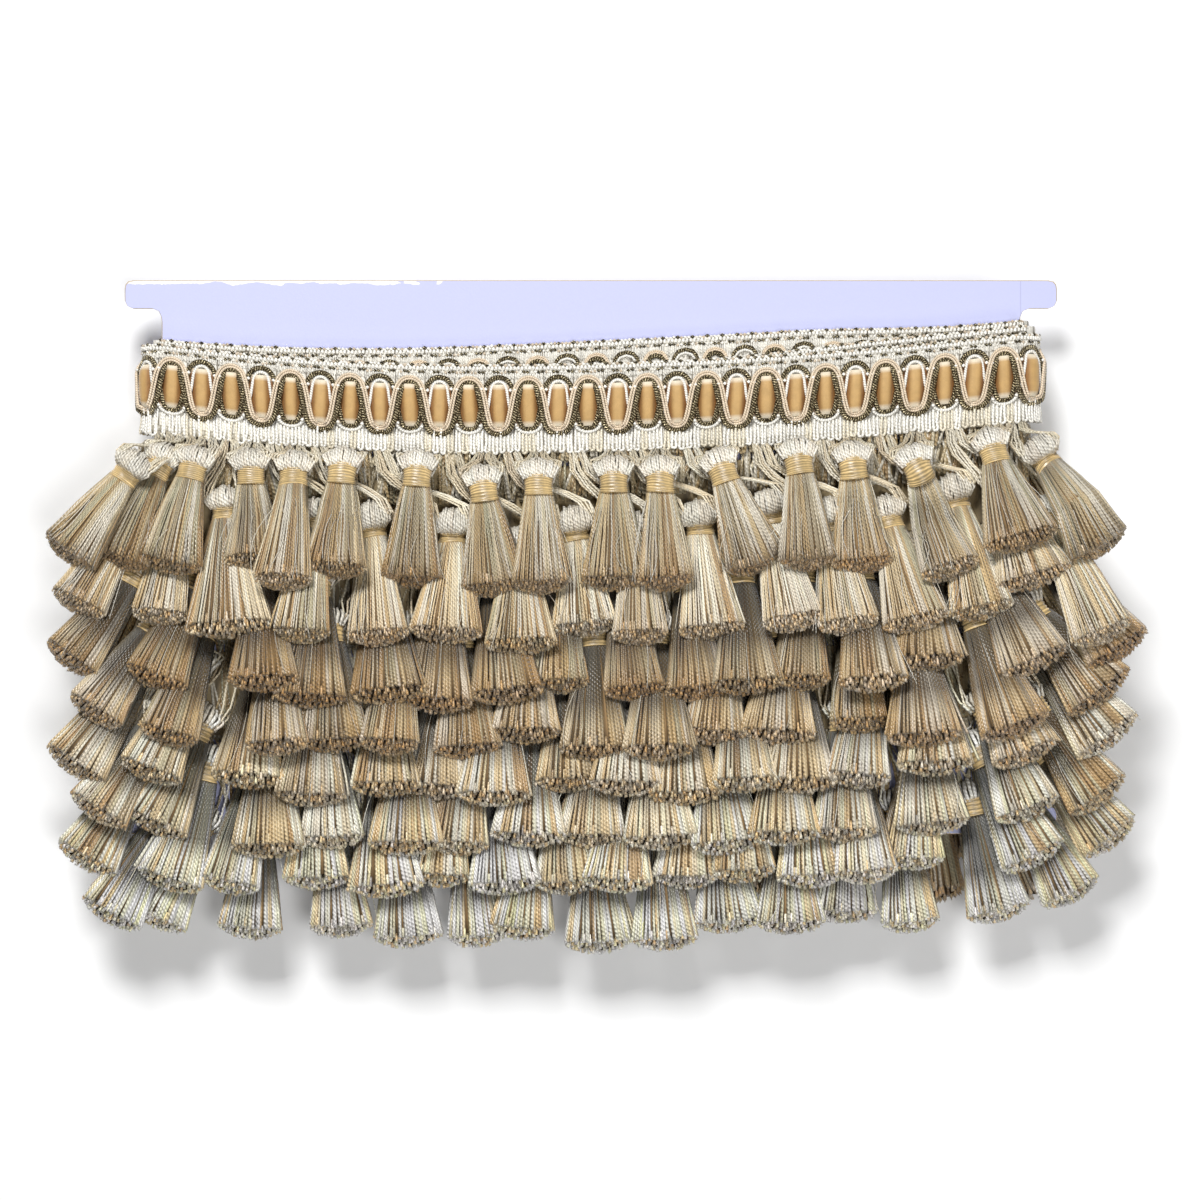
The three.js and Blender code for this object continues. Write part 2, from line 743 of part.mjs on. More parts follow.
// The card lies as high above the table as the pile behind it needs.
let cardLevel = 0;
eachFace(-1, (x, y, reach) => {
  cardLevel = Math.max(cardLevel, backPile.at(x, y) + PILE.clear + reach);
});
for (let x = -PILE.halfX; x <= PILE.halfX; x += PILE.cell) {
  for (let y = 0; y > -PILE.depth; y -= PILE.cell) {
    cardLevel = Math.max(cardLevel, backPile.at(x, y) + PILE.clear);
  }
  for (let y = 0; y > -CARD.height; y -= PILE.cell) {
    cardLevel = Math.max(cardLevel, backPile.at(x, y) + PILE.clear + CARD_BACK);
  }
}
for (const [turn, row] of back) {
  for (const tassel of row) {
    const behind = turn * TURN + RUN + BEND + HALF_RUN - tassel.root.x;
    const { base } = place(behind);
    tassel.rootZ = cardLevel - base - STRIP.rootOut - TASSEL.rootThick / 2;
  }
}

// The front: laid from the card up, the innermost turn first.
const front = new Map();
const frontPile = new Pile();
for (let x = -CARD.halfWidth - CARD.ear; x <= CARD.halfWidth + CARD.ear; x += PILE.cell) {
  for (let y = 0; y > -CARD.height - 1; y -= PILE.cell) {
    frontPile.raise(x, y, CARD_BACK);
  }
}
eachFace(1, (x, y, reach) => frontPile.raise(x, y, reach));
for (const turn of FRINGED_TURNS) {
  const { short, long } = frontRows(turn);
  for (const tassel of [...layingOrder(long), ...layingOrder(short)]) {
    tassel.rootZ = TURNS[turn].base + STRIP.rootOut;
    layOn(frontPile, tassel, true);
  }
  front.set(turn, [...long, ...short]);
}

// A fringe: the strip from one bend's middle to the other's, with its tassels fused on.
function fringeGeometry(from, to, tassels, toZ) {
  const lengths = steps(from, to, STEP.run, STEP.bend);
  const strip = band(lengths, () => ({
    inner: 0,
    outer: STRIP.thick,
    low: -STRIP.height - GAP,
    high: -GAP,
  })).translate(0, 0, cardLevel);
  return fuse([strip, ...tassels.map((tassel) => tasselGeometry(tassel, toZ))]);
}

// Materials and the finished group

const finish = (color, roughness, metalness = 0) => {
  return new THREE.MeshStandardMaterial({ color, roughness, metalness });
};
const cardboard = finish(0xdadafa, 0.8);
const weave = finish(0xe6dcc4, 0.6);
const ribbonCloth = finish(0xcda569, 0.65);
const scrollYarn = finish(0xc9ab86, 0.45);
const metallicYarn = finish(0x8a7a5a, 0.4, 0.3);
const tasselYarn = finish(0xc8b592, 0.55);

const trim = new THREE.Group();

function add(name, geometry, material) {
  const mesh = new THREE.Mesh(geometry, material);
  mesh.name = name;
  trim.add(mesh);
}

add("winding_card", cardGeometry().translate(0, 0, cardLevel), cardboard);
add("gimp_heading", headingGeometry().translate(0, 0, cardLevel), weave);
add("gimp_ribbon", ribbonGeometry().translate(0, 0, cardLevel), ribbonCloth);
add("scroll_over", scrollGeometry(0, CORD.over).translate(0, 0, cardLevel), scrollYarn);
add("scroll_under", scrollGeometry(WINDOW.pitch, CORD.under).translate(0, 0, cardLevel), metallicYarn);
FRINGED_TURNS.forEach((turn, i) => {
  const from = Math.max(START, turn * TURN - BEND / 2 + GAP);
  const to = turn * TURN + RUN + BEND / 2 - GAP;
  const above = (z) => cardLevel + z;
  add(`fringe_front_${i + 1}`, fringeGeometry(from, to, front.get(turn), above), tasselYarn);
});
BACK_TURNS.forEach((turn, i) => {
  const start = turn * TURN + RUN;
  const from = start + (turn === LAST - 1 ? ENDS.backStart * BEND : BEND / 2 + GAP);
  const to = turn === 2 ? start + BEND + BACK_ROW.thirdTurnReach * RUN : (turn + 1) * TURN - BEND / 2 - GAP;
  add(`fringe_back_${i + 1}`, fringeGeometry(from, to, back.get(turn), (z) => z), tasselYarn);
});

// The origin is the middle of the box in plan, on the table.
const box = new THREE.Box3().setFromObject(trim);
const middle = box.getCenter(new THREE.Vector3());
trim.position.set(-middle.x, -middle.y, -box.min.z);

export default trim;
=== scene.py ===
"""Two-row tassel fringe trim wound round a flat card and laid on its back.

Lengths are millimetres until to_metres. x runs along the card from its middle, y is 0 at the card's top
edge and z is 0 on the table. The winding and the pile of tassels repeat the part's own layout.
"""

import math

import bpy
import numpy as np
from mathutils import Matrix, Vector


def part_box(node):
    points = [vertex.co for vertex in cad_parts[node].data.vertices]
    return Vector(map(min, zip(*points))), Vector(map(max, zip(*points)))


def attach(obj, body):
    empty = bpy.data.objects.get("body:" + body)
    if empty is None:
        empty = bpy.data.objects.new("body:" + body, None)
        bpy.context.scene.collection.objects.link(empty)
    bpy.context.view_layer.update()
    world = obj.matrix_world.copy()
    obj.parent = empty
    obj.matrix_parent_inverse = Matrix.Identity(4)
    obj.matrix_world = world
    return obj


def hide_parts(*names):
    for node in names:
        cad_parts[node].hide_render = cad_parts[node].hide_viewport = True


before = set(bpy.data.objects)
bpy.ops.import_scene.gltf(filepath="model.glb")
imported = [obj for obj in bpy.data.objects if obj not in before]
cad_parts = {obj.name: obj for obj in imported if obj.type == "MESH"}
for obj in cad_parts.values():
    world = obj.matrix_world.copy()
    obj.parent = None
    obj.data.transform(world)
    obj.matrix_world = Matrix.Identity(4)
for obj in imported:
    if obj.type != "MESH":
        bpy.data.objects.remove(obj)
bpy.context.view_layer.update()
BODY = "root"
MM = 0.001
UPWARD = np.array([0.0, 0.0, 1.0])
SEEDS = {"ground": 11, "edges": 12, "ribbon": 13, "hidden": 21, "tassels": 100}

# The card in the frame gives where the layout's own origin lies.
card_low, card_high = (np.array(corner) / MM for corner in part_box("winding_card"))
LEVEL = (card_low[2] + card_high[2]) / 2
SHIFT = np.array([(card_low[0] + card_high[0]) / 2, card_high[1], 0.0])

# The winding: straight runs in front and behind, round bends at the card's two edges.
HALF_RUN = 149.3
RUN = 2 * HALF_RUN
BEND_RADIUS = 8.7
BEND = math.pi * BEND_RADIUS
TURN = 2 * (RUN + BEND)
# Each turn: how far down its edge lies, its inner face, and how the edge rises, falls and sags at the left.
TURNS = (
    (159.5, 2.1, 0, 0, 1, 0, 0), (126, 2.1, 0, 0, 1, 0, 0), (92.5, 2.1, 0, 0, 1, 0, 0),
    (57, 2.1, 8.5, -230, 270, 3.5, 0.0003), (57, 4.4, 3, 30, 80, 0, 0.0003),
    (57, 6.7, 0, 0, 1, 0, 0.0003), (57, 11.9, 0, 0, 1, 0, 0.0003),
)
DROP, BASE, RISE, RISE_FROM, RISE_OVER, FALL, LEFT_SAG = np.array(TURNS, float).T
EDGE_LINE = {"sag": 0.0003, "sag_middle": -40.0, "sag_depth": 2.4, "fall_from": 65.0, "fall_over": 80.0}
LAST = len(DROP) - 2
ENDS = {"start": 0.35, "end": 0.62, "back_start": 0.7}
START = -ENDS["start"] * BEND
OUTER_FROM = (LAST - 1) * TURN + RUN + BEND
END = LAST * TURN + RUN + ENDS["end"] * BEND

CARD = {"half_width": 150.3, "height": 194.0, "thick": 3.0, "ear": 13.0, "ear_height": 9.5}
GAP = 0.3
HEADING_HEIGHT, GROUND_THICK, OUTER_THICK = 29.5, 2.0, 0.8
PITCH, WINDOW_MIDDLE = 10.35, 15.3
WINDOWS_FROM = LAST * TURN + HALF_RUN - 1.0
OUTER_STACK = 5.1
STRIP = {"height": 3.2, "thick": 3.6, "root_down": 1.9, "root_out": 2.8}
PILE = {"clear": 0.7, "free": 5.0, "half_x": 215.0, "depth": 260.0, "above": 20, "rounds": 5}
SWING = {"from": 105.0, "over": 50.0, "angle": 0.6}
TASSEL = {
    "root_half": 3.0,
    "root_thick": 1.4,
    "head_half": 7.6,
    "head_thick": 6.4,
    "neck_half": 6.2,
    "head_above": 9.5,
    "neck_above": 3.5,
    "flare": 0.5,
    "bend_share": 0.62,
    "toe_share": 0.9,
    "least_head_at": 2.5,
}

# The outermost turn's tassels in front: middle of the neck x, y, middle of the cut end x, y, width there.
SHORT_HANKS = (
    (-160, -69, -180, -96, 21), (-150, -67, -163, -98, 21), (-138, -68, -145, -100, 22),
    (-118, -69, -116, -99, 20), (-103, -70, -105, -106, 19), (-86, -69, -88, -102, 22),
    (-60, -70, -62, -105, 21), (-37, -75, -33, -108, 23), (-18, -73, -17, -107, 20),
    (8, -72, 9, -106, 24), (24, -72, 26, -106, 19), (46, -69, 57, -100, 21), (72, -66, 75, -99, 20),
    (91, -67, 94, -100, 21), (113, -68, 124, -102, 21), (140, -62, 148, -92, 26),
    (158, -64, 175, -94, 23),
)
LONG_HANKS = (
    (-161, -84, -177, -114, 20), (-145, -83, -149, -118, 19), (-127, -82, -124, -122, 30),
    (-96, -86, -99, -124, 19), (-76, -88, -73, -125, 21), (-48, -90, -50, -124, 25),
    (-25, -96, -24, -128, 25), (-5, -89, -2, -122, 22), (16, -91, 17, -125, 19),
    (38, -87, 42, -123, 23), (63, -83, 70, -120, 21), (84, -86, 89, -121, 21),
    (104, -85, 112, -120, 23), (127, -78, 135, -116, 22), (144, -76, 153, -105, 27),
    (160, -85, 176, -124, 21),
)
SHORT_ROW = {"count": 16, "neck": 13.0, "length": 37.0}
LONG_ROW = {"neck": 31.0, "length": 37.0}
ROW = {
    "width": 23.0,
    "roots_apart": 7.4,
    "root_margin": 1.0,
    "past_run": 8.0,
    "past_run_behind": 6.0,
    "long_spread": 1.07,
    "long_spread_behind": 1.05,
}
UNEVEN = {"place": 2.5, "long_place": 2.2, "angle": 0.12, "drop": 1.7, "length": 3.0, "width": 3.2}
BACK_ROW = {"count": 12, "third_turn_reach": 0.5, "seed": 3000}


def mix(a, b, share):
    return a + (b - a) * share


def smooth(share):
    s = np.clip(share, 0.0, 1.0)
    return s * s * (3 - 2 * s)


def uneven(n):
    """A repeatable uneven number from -1 to 1 for tassel n."""
    wave = math.sin(n * 12.9898) * 43758.5453
    return 2 * (wave - math.floor(wave)) - 1


def to_metres(points):
    return (np.asarray(points, float) + SHIFT) * MM


# The winding


def lower_edge(turn, x):
    line = EDGE_LINE
    sag = line["sag"] * (x - line["sag_middle"]) ** 2 - line["sag_depth"]
    at_left = LEFT_SAG[turn] * np.minimum(x - line["sag_middle"], 0) ** 2
    rise = RISE[turn] * smooth((x - RISE_FROM[turn]) / RISE_OVER[turn])
    fall = FALL[turn] * smooth((x - line["fall_from"]) / line["fall_over"])
    return sag + at_left - DROP[turn] + rise - fall


def place(s):
    """Middle, outward direction, inner face and lower edge of the winding at lengths s."""
    s = np.asarray(s, float)
    turn = np.floor(s / TURN).astype(int)
    along = s - turn * TURN
    here = np.clip(turn, 0, LAST)
    after = np.clip(turn + 1, 0, LAST + 1)
    right = (along - RUN) / BEND
    back = (along - RUN - BEND) / RUN
    left = (along - 2 * RUN - BEND) / BEND
    front = along < RUN
    on_right = ~front & (right < 1)
    behind = ~front & ~on_right & (back < 1) & (turn + 1 < len(DROP))
    where = [front, on_right, behind]
    angle = np.select(where, [0 * s, math.pi * right, 0 * s + math.pi], math.pi * (1 + left))
    x = np.select(where, [along - HALF_RUN, 0 * s + HALF_RUN, HALF_RUN - back * RUN], -HALF_RUN)
    climb = smooth(2 * right - 1)
    base = np.select([front, on_right], [BASE[here], mix(BASE[here], BASE[after], climb)], BASE[after])
    finish = lower_edge(after, -HALF_RUN)
    edge_right = lower_edge(here, HALF_RUN)
    y = np.select(where, [lower_edge(here, x), edge_right, mix(edge_right, finish, smooth(back))], finish)
    return {"x": x, "nx": np.sin(angle), "nz": np.cos(angle), "base": base, "y": y}


def point_at(s, out, up):
    """Points of the winding: out from the inner face, up from the lower edge; z is above the table."""
    p = place(s)
    reach = p["base"] + out
    return np.stack(
        np.broadcast_arrays(p["x"] + p["nx"] * reach, p["y"] + up, p["nz"] * reach + LEVEL), axis=-1
    )


def outward(s):
    p = place(s)
    return np.stack([p["nx"], 0 * p["nx"], p["nz"]], axis=-1)


# The pile of tassels


class Pile:
    """Heights of everything laid so far on one side of the card."""

    def __init__(self):
        self.columns = int(2 * PILE["half_x"]) + 1
        self.heights = np.zeros(self.columns * (int(PILE["depth"]) + PILE["above"] + 1))

    def cell(self, x, y):
        column = np.floor(x + PILE["half_x"] + 0.5).astype(int)
        return np.floor(PILE["above"] - y + 0.5).astype(int) * self.columns + column

    def at(self, x, y):
        return self.heights[self.cell(x, y)]

    def lift(self, x, y, z):
        np.maximum.at(self.heights, self.cell(x, y), z)


OUTER = {"name": "outer", "sole": False, "neck_thick": 7.0, "tip_thick": 8.4, "toe": 0.0}
INNER = {"name": "inner", "sole": False, "neck_thick": 6.2, "tip_thick": 7.4, "toe": 0.0}
BEHIND = {"name": "behind", "sole": True, "neck_thick": 5.0, "tip_thick": 3.8, "toe": 5.0}


class Tassel:
    """One tassel of the pile: its line in plan, its widths and how high its knots lie."""

    def __init__(self, root, neck, tip, width, kind):
        t = TASSEL
        self.root, self.neck, self.tip = (np.array(p, float) for p in (root, neck, tip))
        self.kind = kind
        self.width = width
        self.neck_at = float(np.linalg.norm(self.neck - self.root))
        self.skirt_length = float(np.linalg.norm(self.tip - self.neck))
        self.length = self.neck_at + self.skirt_length
        self.hank = (self.neck - self.root) / self.neck_at
        self.skirt = (self.tip - self.neck) / self.skirt_length
        head_at = max(t["least_head_at"], self.neck_at - t["head_above"])
        bend_at = mix(self.neck_at, self.length, t["flare"])
        toe_at = self.length - kind["toe"]
        half = width / 2
        start = (0.0, t["root_half"], t["root_thick"])
        bend = (bend_at, mix(t["neck_half"], half, t["bend_share"]), kind["tip_thick"])
        end = (self.length, half, kind["tip_thick"])
        head = (head_at, t["head_half"], t["head_thick"])
        toe = (toe_at, mix(t["neck_half"], half, t["toe_share"]), kind["tip_thick"])
        necks = [
            (self.neck_at + way * t["neck_above"], t["neck_half"], kind["neck_thick"]) for way in (-1, 0, 1)
        ]
        rings = {
            "outer": [start, head, necks[0], necks[2], bend, end],
            "inner": [start, necks[1], end],
            "behind": [start, necks[1], bend, toe, end],
        }[kind["name"]]
        knots = {
            "outer": [head_at, self.neck_at, bend_at, self.length],
            "inner": [self.neck_at, self.length],
            "behind": [self.neck_at, bend_at, toe_at],
        }[kind["name"]]
        self.ring_at, self.ring_half, self.ring_thick = np.array(rings).T
        self.knot_at = np.array(knots)
        self.knot_z = np.zeros(len(knots))
        self.root_z = 0.0

    def z_at(self, at):
        return np.interp(at, np.append(0.0, self.knot_at), np.append(self.root_z, self.knot_z))

    def half_at(self, at):
        return np.interp(at, self.ring_at, self.ring_half)

    def thick_at(self, at):
        return np.interp(at, self.ring_at, self.ring_thick)

    def middle_z(self, at):
        """Height of the middle of its thickness."""
        return self.z_at(at) + (self.thick_at(at) / 2 if self.kind["sole"] else 0.0)

    def samples(self):
        at, across = [], []
        for step in np.arange(0.0, self.length + 1e-9, 1.0):
            count = math.ceil(self.half_at(step))
            at.append(np.full(2 * count + 1, step))
            across.append(np.arange(-count, count + 1) / count)
        at, across = np.concatenate(at), np.concatenate(across)
        on_hank = (at < self.neck_at)[:, None]
        direction = np.where(on_hank, self.hank, self.skirt)
        middle = np.where(
            on_hank,
            self.root + self.hank * at[:, None],
            self.neck + self.skirt * (at - self.neck_at)[:, None],
        )
        offset = across * self.half_at(at)
        x = middle[:, 0] - direction[:, 1] * offset
        y = middle[:, 1] + direction[:, 0] * offset
        return at, across, x, y


def lay_on(pile, tassel, fixed_root):
    """Lowers a tassel onto the pile; each point lifts the nearer knot, in a few rounds."""
    at, across, x, y = tassel.samples()
    thick = tassel.thick_at(at)
    below = pile.at(x, y)
    under = 0.0 if tassel.kind["sole"] else 0.5 * (np.abs(across) - 1)
    over = (1 - np.abs(across)) * (1.0 if tassel.kind["sole"] else 0.5)
    need = np.where(below > 0, below + PILE["clear"], 0.0) - under * thick
    knot_at, first, root_z = tassel.knot_at, tassel.knot_at[0], tassel.root_z
    near_head = at > tassel.neck_at - TASSEL["head_above"]
    lowest = root_z if fixed_root else 0.0
    if fixed_root:
        held = (at > PILE["free"]) & (at <= first)
        lifts = root_z + (need[held] - root_z) * first / at[held]
    else:
        held = near_head & (at <= first)
        lifts = need[held]
    lowest = max([lowest, *lifts])
    segment = np.clip(np.searchsorted(knot_at, at, side="left"), 1, len(knot_at) - 1) - 1
    share = np.clip((at - knot_at[segment]) / (knot_at[segment + 1] - knot_at[segment]), 0, 1)
    for _ in range(PILE["rounds"]):
        settled = np.zeros(len(knot_at))
        settled[0] = lowest
        for a in range(len(knot_at) - 1):
            mine = (segment == a) & (at > first)
            low, high = mine & (share < 0.5), mine & (share >= 0.5)
            by_a = (need[low] - share[low] * tassel.knot_z[a + 1]) / (1 - share[low])
            settled[a] = max([settled[a], *by_a])
            by_b = (need[high] - (1 - share[high]) * settled[a]) / share[high]
            settled[a + 1] = max([settled[a + 1], *by_b])
        tassel.knot_z = settled
    raises = np.full(len(at), True) if fixed_root else near_head
    pile.lift(x[raises], y[raises], (tassel.z_at(at) + over * thick)[raises])


def roots_for(necks):
    """Places on the strip for the hanks of these necks, kept apart and off the bends."""
    reach, apart = HALF_RUN - ROW["root_margin"], ROW["roots_apart"]
    roots = [min(max(x, -reach), reach) for x in necks]
    for i in range(1, len(roots)):
        roots[i] = max(roots[i], roots[i - 1] + apart)
    limit = reach
    for i in reversed(range(len(roots))):
        roots[i] = min(roots[i], limit)
        limit = roots[i] - apart
    return roots


def spread(count, start, end, seed):
    return [mix(start, end, i / (count - 1)) + UNEVEN["place"] * uneven(seed + i) for i in range(count)]


def even_row(necks, roots, row, edge_at, kind, seed):
    """A row of tassels on an inner turn or behind."""
    tassels = []
    for i, (x, root_x) in enumerate(zip(necks, roots)):
        wobble = [uneven(seed + 31 * k + i) for k in range(5)]
        swing = np.sign(x) * SWING["angle"] * smooth((abs(x) - SWING["from"]) / SWING["over"])
        angle = swing + UNEVEN["angle"] * wobble[1]
        edge = float(edge_at(root_x))
        root = (root_x, edge - STRIP["root_down"])
        neck = np.array([x, edge - row["neck"] + UNEVEN["drop"] * wobble[2]])
        length = row["length"] + UNEVEN["length"] * wobble[3]
        tip = neck + length * np.array([math.sin(angle), -math.cos(angle)])
        tassels.append(Tassel(root, neck, tip, ROW["width"] + UNEVEN["width"] * wobble[4], kind))
    return tassels


def table_row(table, roots):
    tassels = []
    for (neck_x, neck_y, tip_x, tip_y, width), root_x in zip(table, roots):
        root = (root_x, float(lower_edge(LAST, root_x)) - STRIP["root_down"])
        tassels.append(Tassel(root, (neck_x, neck_y), (tip_x, tip_y), width, OUTER))
    return tassels


def between(places):
    return [(a + b) / 2 for a, b in zip(places, places[1:])]


def even_rows(count, span, seed, long_spread, edge_at, kind):
    """The long and the short tassels of a turn that are spaced evenly."""
    short_necks = spread(count, *span, seed)
    short_roots = roots_for(short_necks)
    long_roots = between(short_roots)
    moved = [UNEVEN["long_place"] * uneven(seed + 50 + i) for i in range(len(long_roots))]
    long_necks = [x * long_spread + move for x, move in zip(long_roots, moved)]
    return (
        even_row(long_necks, long_roots, LONG_ROW, edge_at, kind, seed + 7),
        even_row(short_necks, short_roots, SHORT_ROW, edge_at, kind, seed),
    )


def front_rows(turn):
    """The long and the short tassels of a turn's front."""
    if turn == LAST:
        short_roots = roots_for([row[0] for row in SHORT_HANKS])
        return table_row(LONG_HANKS, between(short_roots)), table_row(SHORT_HANKS, short_roots)

    def edge_at(x):
        return lower_edge(turn, x)

    end = HALF_RUN + ROW["past_run"]
    return even_rows(SHORT_ROW["count"], (-end, end), 100 * (turn + 1), ROW["long_spread"], edge_at, INNER)


def back_rows(turn):
    """The long and the short tassels behind the card, where the trim climbs to the next turn."""
    end = HALF_RUN + ROW["past_run_behind"]
    start = mix(end, -end, BACK_ROW["third_turn_reach"]) if turn == 2 else -end
    count = math.floor(BACK_ROW["count"] * (end - start) / (2 * end) + 0.5)
    behind = turn * TURN + RUN + BEND

    def edge_at(x):
        return place(behind + HALF_RUN - x)["y"]

    seed = 100 * (turn + 1) + BACK_ROW["seed"]
    return even_rows(count, (start, end), seed, ROW["long_spread_behind"], edge_at, BEHIND)


def laying_order(row):
    return row[1::2] + row[0::2]


FRINGED_TURNS = (0, 1, 2, LAST)
BACK_TURNS = (0, 1, 2, LAST - 1)


def pile_behind():
    pile = Pile()
    rows = {}
    for turn in reversed(BACK_TURNS):
        long, short = back_rows(turn)
        for tassel in laying_order(short) + laying_order(long):
            lay_on(pile, tassel, False)
        rows[turn] = {"long": long, "short": short}
        for tassel in long + short:
            base = float(place(turn * TURN + RUN + BEND + HALF_RUN - tassel.root[0])["base"])
            tassel.root_z = LEVEL - base - STRIP["root_out"] - TASSEL["root_thick"] / 2
    return rows


def pile_in_front():
    pile = Pile()
    xs = np.arange(-CARD["half_width"] - CARD["ear"], CARD["half_width"] + CARD["ear"] + 0.5)
    ys = -np.arange(0.0, CARD["height"] + 1)
    pile.lift(*(grid.ravel() for grid in np.meshgrid(xs, ys)), CARD["thick"] / 2)
    s = np.arange(START, END, 1.0)
    ups = np.arange(-STRIP["height"] - GAP, HEADING_HEIGHT, 1.0)
    p = place(s)
    thick = np.where(s > OUTER_FROM, OUTER_STACK, GROUND_THICK)
    for up in ups:
        reach = p["base"] + (STRIP["thick"] if up < 0 else thick)
        shown = p["nz"] > 0
        pile.lift((p["x"] + p["nx"] * reach)[shown], (p["y"] + up)[shown], (p["nz"] * reach)[shown])
    rows = {}
    for turn in FRINGED_TURNS:
        long, short = front_rows(turn)
        for tassel in laying_order(long) + laying_order(short):
            tassel.root_z = BASE[turn] + STRIP["root_out"]
            lay_on(pile, tassel, True)
        rows[turn] = {"long": long, "short": short}
    for row in rows.values():
        for tassel in row["long"] + row["short"]:
            tassel.knot_z = tassel.knot_z + LEVEL
            tassel.root_z += LEVEL
    return rows


def put_in_scene(name, data):
    made = bpy.data.objects.new(name, data)
    bpy.context.scene.collection.objects.link(made)
    return made


# Meshes from arrays

SLOT_YARN, SLOT_BINDING, SLOT_CORE = 0, 1, 2

# How far pieces are shifted against each other along the UV map, so that their plies don't line up
UV_SHIFT = 40


class Pieces:
    """Many small lofted pieces gathered into one mesh, with a tint, a UV map and a material for each."""

    def __init__(self):
        self.points, self.tints = [], []
        self.quads, self.quad_uvs, self.quad_slots = [], [], []
        self.triangles, self.triangle_uvs, self.triangle_slots = [], [], []
        self.count = 0

    def loft(self, rings, tint, along=None, slot=SLOT_YARN):
        """Closed pieces (pieces, rings, sides, 3); tint spreads over them or is a colour for each."""
        n, m, k, _ = rings.shape
        tint = tint[:, None, None, :] if np.ndim(tint) == 2 else tint
        tint = np.broadcast_to(tint, rings.shape)
        centred = rings - rings.mean(axis=2, keepdims=True)
        turning = np.cross(centred, np.roll(centred, -1, axis=2)).sum(axis=2)
        forward = np.gradient(rings.mean(axis=2), axis=1)
        if (turning * forward).sum() < 0:
            rings, tint = rings[:, :, ::-1], tint[:, :, ::-1]
        first = self.count + np.arange(n)[:, None, None] * (m * k)
        ring = np.arange(m - 1)[None, :, None] * k
        side = np.arange(k)[None, None, :]
        a = first + ring + side
        b = first + ring + (side + 1) % k
        self.quads.append(np.stack([a, b, b + k, a + k], -1).reshape(-1, 4))
        if along is None:
            steps = np.linalg.norm(np.diff(rings.mean(axis=2), axis=1), axis=-1)
            along = np.concatenate([np.zeros((n, 1)), np.cumsum(steps, axis=1)], axis=1)
            along = along + UV_SHIFT * np.modf(0.618 * np.arange(n))[0][:, None]
        low = np.broadcast_to(along[:, :-1, None], (n, m - 1, k))
        high = np.broadcast_to(along[:, 1:, None], (n, m - 1, k))
        near = np.broadcast_to(side / k, low.shape)
        far = near + 1 / k
        corners = [(low, near), (low, far), (high, far), (high, near)]
        self.quad_uvs.append(np.stack([np.stack(c, -1) for c in corners], -2).reshape(-1, 4, 2))
        self.quad_slots.append(np.full(len(self.quads[-1]), slot))
        fan = np.arange(1, k - 1)
        start = first[:, 0] + 0 * fan
        end = start + (m - 1) * k
        caps = [
            np.stack([start, start + fan + 1, start + fan], -1),
            np.stack([end, end + fan, end + fan + 1], -1),
        ]
        self.triangles.append(np.concatenate(caps).reshape(-1, 3))
        ends = np.concatenate([along[:, :1] + 0 * fan, along[:, -1:] + 0 * fan]).reshape(-1, 1)
        self.triangle_uvs.append(
            np.stack([np.broadcast_to(ends, (len(ends), 3)), np.tile([0.1, 0.4, 0.7], (len(ends), 1))], -1)
        )
        self.triangle_slots.append(np.full(len(self.triangles[-1]), slot))
        self.points.append(rings.reshape(-1, 3))
        self.tints.append(tint.reshape(-1, 3))
        self.count += n * m * k

    def build(self, name, materials):
        quads, triangles = np.concatenate(self.quads), np.concatenate(self.triangles)
        points = to_metres(np.concatenate(self.points))
        mesh = bpy.data.meshes.new(name)
        mesh.vertices.add(len(points))
        mesh.vertices.foreach_set("co", points.astype(np.float32).ravel())
        mesh.loops.add(quads.size + triangles.size)
        corners = np.concatenate([quads.ravel(), triangles.ravel()])
        mesh.loops.foreach_set("vertex_index", corners.astype(np.int32))
        mesh.polygons.add(len(quads) + len(triangles))
        starts = np.concatenate([4 * np.arange(len(quads)), quads.size + 3 * np.arange(len(triangles))])
        mesh.polygons.foreach_set("loop_start", starts.astype(np.int32))
        slots = np.concatenate(self.quad_slots + self.triangle_slots)
        mesh.polygons.foreach_set("material_index", slots.astype(np.int32))
        mesh.polygons.foreach_set("use_smooth", np.full(len(starts), True))
        mesh.update()
        uvs = np.concatenate([uv.reshape(-1, 2) for uv in self.quad_uvs + self.triangle_uvs])
        mesh.uv_layers.new(name="yarn").data.foreach_set("uv", uvs.astype(np.float32).ravel())
        tints = np.concatenate(self.tints)
        colours = np.concatenate([tints, np.ones((len(tints), 1))], axis=1)
        layer = mesh.color_attributes.new(name="tint", type="FLOAT_COLOR", domain="POINT")
        layer.data.foreach_set("color", colours.astype(np.float32).ravel())
        for material in materials:
            mesh.materials.append(material)
        piece = put_in_scene(name, mesh)
        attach(piece, BODY)
        return piece


def unit(vectors):
    return vectors / np.maximum(np.linalg.norm(vectors, axis=-1, keepdims=True), 1e-9)


def tube_rings(paths, across, through, facing, sides):
    """Elliptic rings round paths (pieces, points, 3), flat to the direction that they face."""
    tangent = unit(np.gradient(paths, axis=1))
    facing = np.broadcast_to(facing, paths.shape)
    normal = unit(facing - (facing * tangent).sum(-1, keepdims=True) * tangent)
    side = np.cross(normal, tangent)
    angle = 2 * math.pi * (np.arange(sides) + 0.5) / sides
    across = np.broadcast_to(across, paths.shape[:2])[..., None, None]
    through = np.broadcast_to(through, paths.shape[:2])[..., None, None]
    return (
        paths[:, :, None]
        + side[:, :, None] * across * np.cos(angle)[:, None]
        + normal[:, :, None] * through * np.sin(angle)[:, None]
    )


def srgb(*values):
    """A colour given as it looks on screen, 0 to 255, as linear values."""
    v = np.array(values, float) / 255
    return np.where(v <= 0.04045, v / 12.92, ((v + 0.055) / 1.055) ** 2.4)


